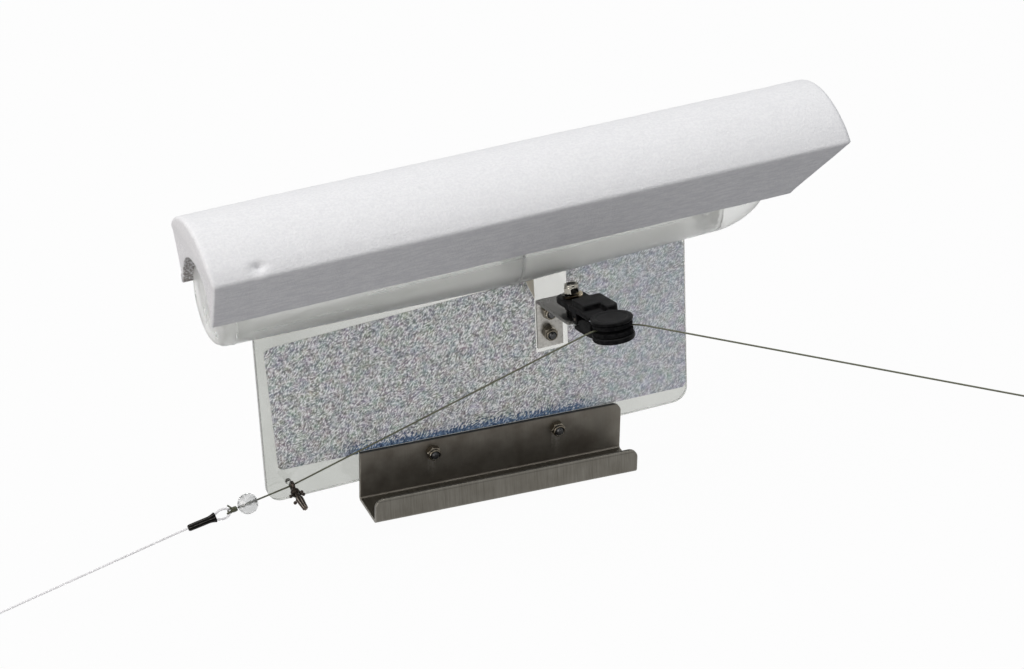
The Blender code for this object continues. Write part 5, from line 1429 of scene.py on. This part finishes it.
def tackle():
    """The main line's two runs, the clear bead, the knot, the loop, the sleeve and the leader."""
    pad = PAD_REACH
    rod_end = np.array([275.5, -179.9, 83.5]) * MM
    to_rod = [clip_point(pad + 0.1 * MM, 0.15 * MM), clip_point(pad + 0.9 * MM, 2.8 * MM),
              clip_point(pad + 2.2 * MM, 5.6 * MM), clip_point(pad + 4.2 * MM, 8.2 * MM),
              clip_point(pad + 6.6 * MM, 10.6 * MM, LINE_PLANE - 0.25 * MM)]
    to_rod += between(to_rod[-1], rod_end, (0.03, 0.3, 0.65, 1))
    to_lure = [clip_point(pad, -0.15 * MM), clip_point(pad, -4.5 * MM), clip_point(pad, -8.8 * MM),
               clip_point(pad - 0.7 * MM, -10.2 * MM, LINE_PLANE - 0.5 * MM)]
    to_lure += between(to_lure[-1], RING_POINT, (0.02, 0.35, 0.7, 0.985))
    knot_reach = BEAD_REACH + BEAD_RADIUS + 0.5 * MM
    to_lure += [RING_POINT, *(RING_POINT + TACKLE_OUT * s for s in (2 * MM, 12 * MM, knot_reach - GAP))]
    sleeve_end = SLEEVE_REACH + SLEEVE_LENGTH
    start = RING_POINT + TACKLE_OUT * (sleeve_end + GAP)
    bend, far = start + TACKLE_OUT * 2 * MM, np.array([-102, -25.2, -4]) * MM
    to_fish = [start, bend, *between(bend, far, (0.08, 0.4, 0.7, 1))]
    runs = {}
    for name, node, route, spacing, diameter, finish, slot in (
        ("rod_line", "line_to_rod", to_rod, 2.2, LINE_DIAMETER, LINE, "line"),
        ("lure_line", "line_to_lure", to_lure, 2.5, LINE_DIAMETER, LINE, "line"),
        ("leader_line", "leader", to_fish, 2.0, THREAD_DIAMETER, LEADER, "leader"),
    ):
        path = smooth_route(route, spacing * MM / 3)
        obj = piece(name, [skin(tube(path, diameter / 2, 12))], BOARD, finish, "board", [node], 60)
        length = np.linalg.norm(np.diff(path, axis=0), axis=1).sum()
        runs[name] = (obj, path - ORIGIN, float(length), diameter)

    shell = skin(bead_rings() + np.array([0, 0, BEAD_REACH]), loop=True)
    bead = piece("clear_bead", [shell], TACKLE, BEAD, "bead", ["stop_bead"], 25)
    knot = piece("line_knot_wraps", line_knot(), TACKLE @ moved(0, 0, knot_reach), LINE, "board",
                 ["line_knot"], 60)
    mouth = SLEEVE_REACH + MM
    thread = skin(loop_rings(knot_reach + 3.2 * MM, mouth))
    loop = piece("loop_thread", [thread], TACKLE, LEADER, "board", ["leader_loop"], 60)
    shell = skin(sleeve_rings(mouth + GAP, sleeve_end))
    sleeve = piece("flared_sleeve", [shell], TACKLE, SLEEVE, "board", ["crimp_sleeve"])

    rod_knot = end_knot("rod_line_knot", to_rod[-2], to_rod[-1], LINE, "rod_end_knot")
    fish_knot = end_knot("leader_line_knot", to_fish[-2], far, LEADER, "leader_end_knot")
    for name, extras in (
        ("rod_line", [rod_knot]), ("lure_line", [bead, knot]), ("leader_line", [sleeve, loop, fish_knot]),
    ):
        obj, path, length, diameter = runs[name]


foam_block()
hull()
keel()
film()
channel()
plate_fasteners()
bracket()
upper_jaw()
lower_jaw()
clip_details()
corner_stud()
swivel()
clasp()
tackle()


# Studio: pale floor, soft light from above and the left, and the camera of the photograph
def seen_directly(tree):
    """1 for camera, glossy and transmission rays, and 0 for light that bounces."""
    rays = add(tree, "LightPath").outputs
    both = maths(tree, "MAXIMUM", rays["Is Camera Ray"], rays["Is Glossy Ray"])
    return maths(tree, "MAXIMUM", both, rays["Is Transmission Ray"])


def studio():
    """A floor just under the part, white behind it for mirrors and clear pieces too, and three lamps."""
    side = 6.0
    mesh = bpy.data.meshes.new("floor")
    corners = [(-side, -side, 0), (side, -side, 0), (side, side, 0), (-side, side, 0)]
    mesh.from_pydata(corners, [], [(0, 1, 2, 3)])
    floor = bpy.data.objects.new("floor", mesh)
    floor.location = (0, 0, cad_box[0][2] - 0.4 * MM)
    bpy.context.collection.objects.link(floor)
    material = bpy.data.materials.new("floor_finish")
    material.use_nodes = True
    tree = material.node_tree
    shader = tree.nodes["Principled BSDF"]
    shader.inputs["Roughness"].default_value = 0.9
    shader.inputs["Base Color"].default_value = (0.42, 0.42, 0.43, 1)
    glow = add(tree, "Emission", {"Color": (1, 1, 1, 1), "Strength": 1.0})
    share = times(tree, seen_directly(tree), 0.97)
    mixed = add(tree, "MixShader", {0: share, 1: shader.outputs[0], 2: glow.outputs[0]})
    tree.links.new(mixed.outputs[0], tree.nodes["Material Output"].inputs["Surface"])
    mesh.materials.append(material)

    world = bpy.data.worlds.new("studio")
    world.use_nodes = True
    tree = world.node_tree
    sky = tree.nodes["Background"]
    white = add(tree, "Background", {"Color": (1, 1, 1, 1), "Strength": 1.0})
    sky.inputs["Color"].default_value = (0.95, 0.97, 1, 1)
    sky.inputs["Strength"].default_value = 0.22
    mixed = add(tree, "MixShader", {0: seen_directly(tree), 1: sky.outputs[0], 2: white.outputs[0]})
    tree.links.new(mixed.outputs[0], tree.nodes["World Output"].inputs["Surface"])
    bpy.context.scene.world = world

    for name, place, size, power, colour in (
        ("above", (0.0, 0.15, 1.5), 1.4, 16.5, (1, 1, 1)),
        ("left", (-1.5, -0.3, 0.7), 1.0, 11.5, (1, 0.955, 0.925)),
        ("front", (0.4, -1.7, 0.9), 1.0, 0.8, (0.97, 0.97, 1)),
    ):
        light = bpy.data.lights.new(name, "AREA")
        light.shape = "SQUARE"
        light.size = size
        light.energy = power
        light.color = colour
        obj = bpy.data.objects.new(name, light)
        way = unit(np.array([0.02, 0, 0.08]) - place)
        obj.matrix_world = matrix_of(axes_at(place, unit(np.cross(way, (0.01, 1, 0))), -way))
        bpy.context.collection.objects.link(obj)


def camera():
    """The photograph's camera, from its fitted place, directions and focal length."""
    focal_pixels, photo_width = 3546.18, 1024
    data = bpy.data.cameras.new("camera")
    data.sensor_width = 36
    data.lens = focal_pixels / photo_width * data.sensor_width
    data.clip_start, data.clip_end = 0.05, 50
    obj = bpy.data.objects.new("camera", data)
    right = unit((0.928248, -0.369894, -0.039177))
    back = -unit((0.298022, 0.802613, -0.516716))
    place = np.array([-301.674, -1164.627, 801.095]) * MM - ORIGIN
    obj.matrix_world = matrix_of(axes_at(place, right, back))
    bpy.context.collection.objects.link(obj)
    bpy.context.scene.camera = obj


studio()
camera()
bpy.context.scene.view_settings.view_transform = "Standard"
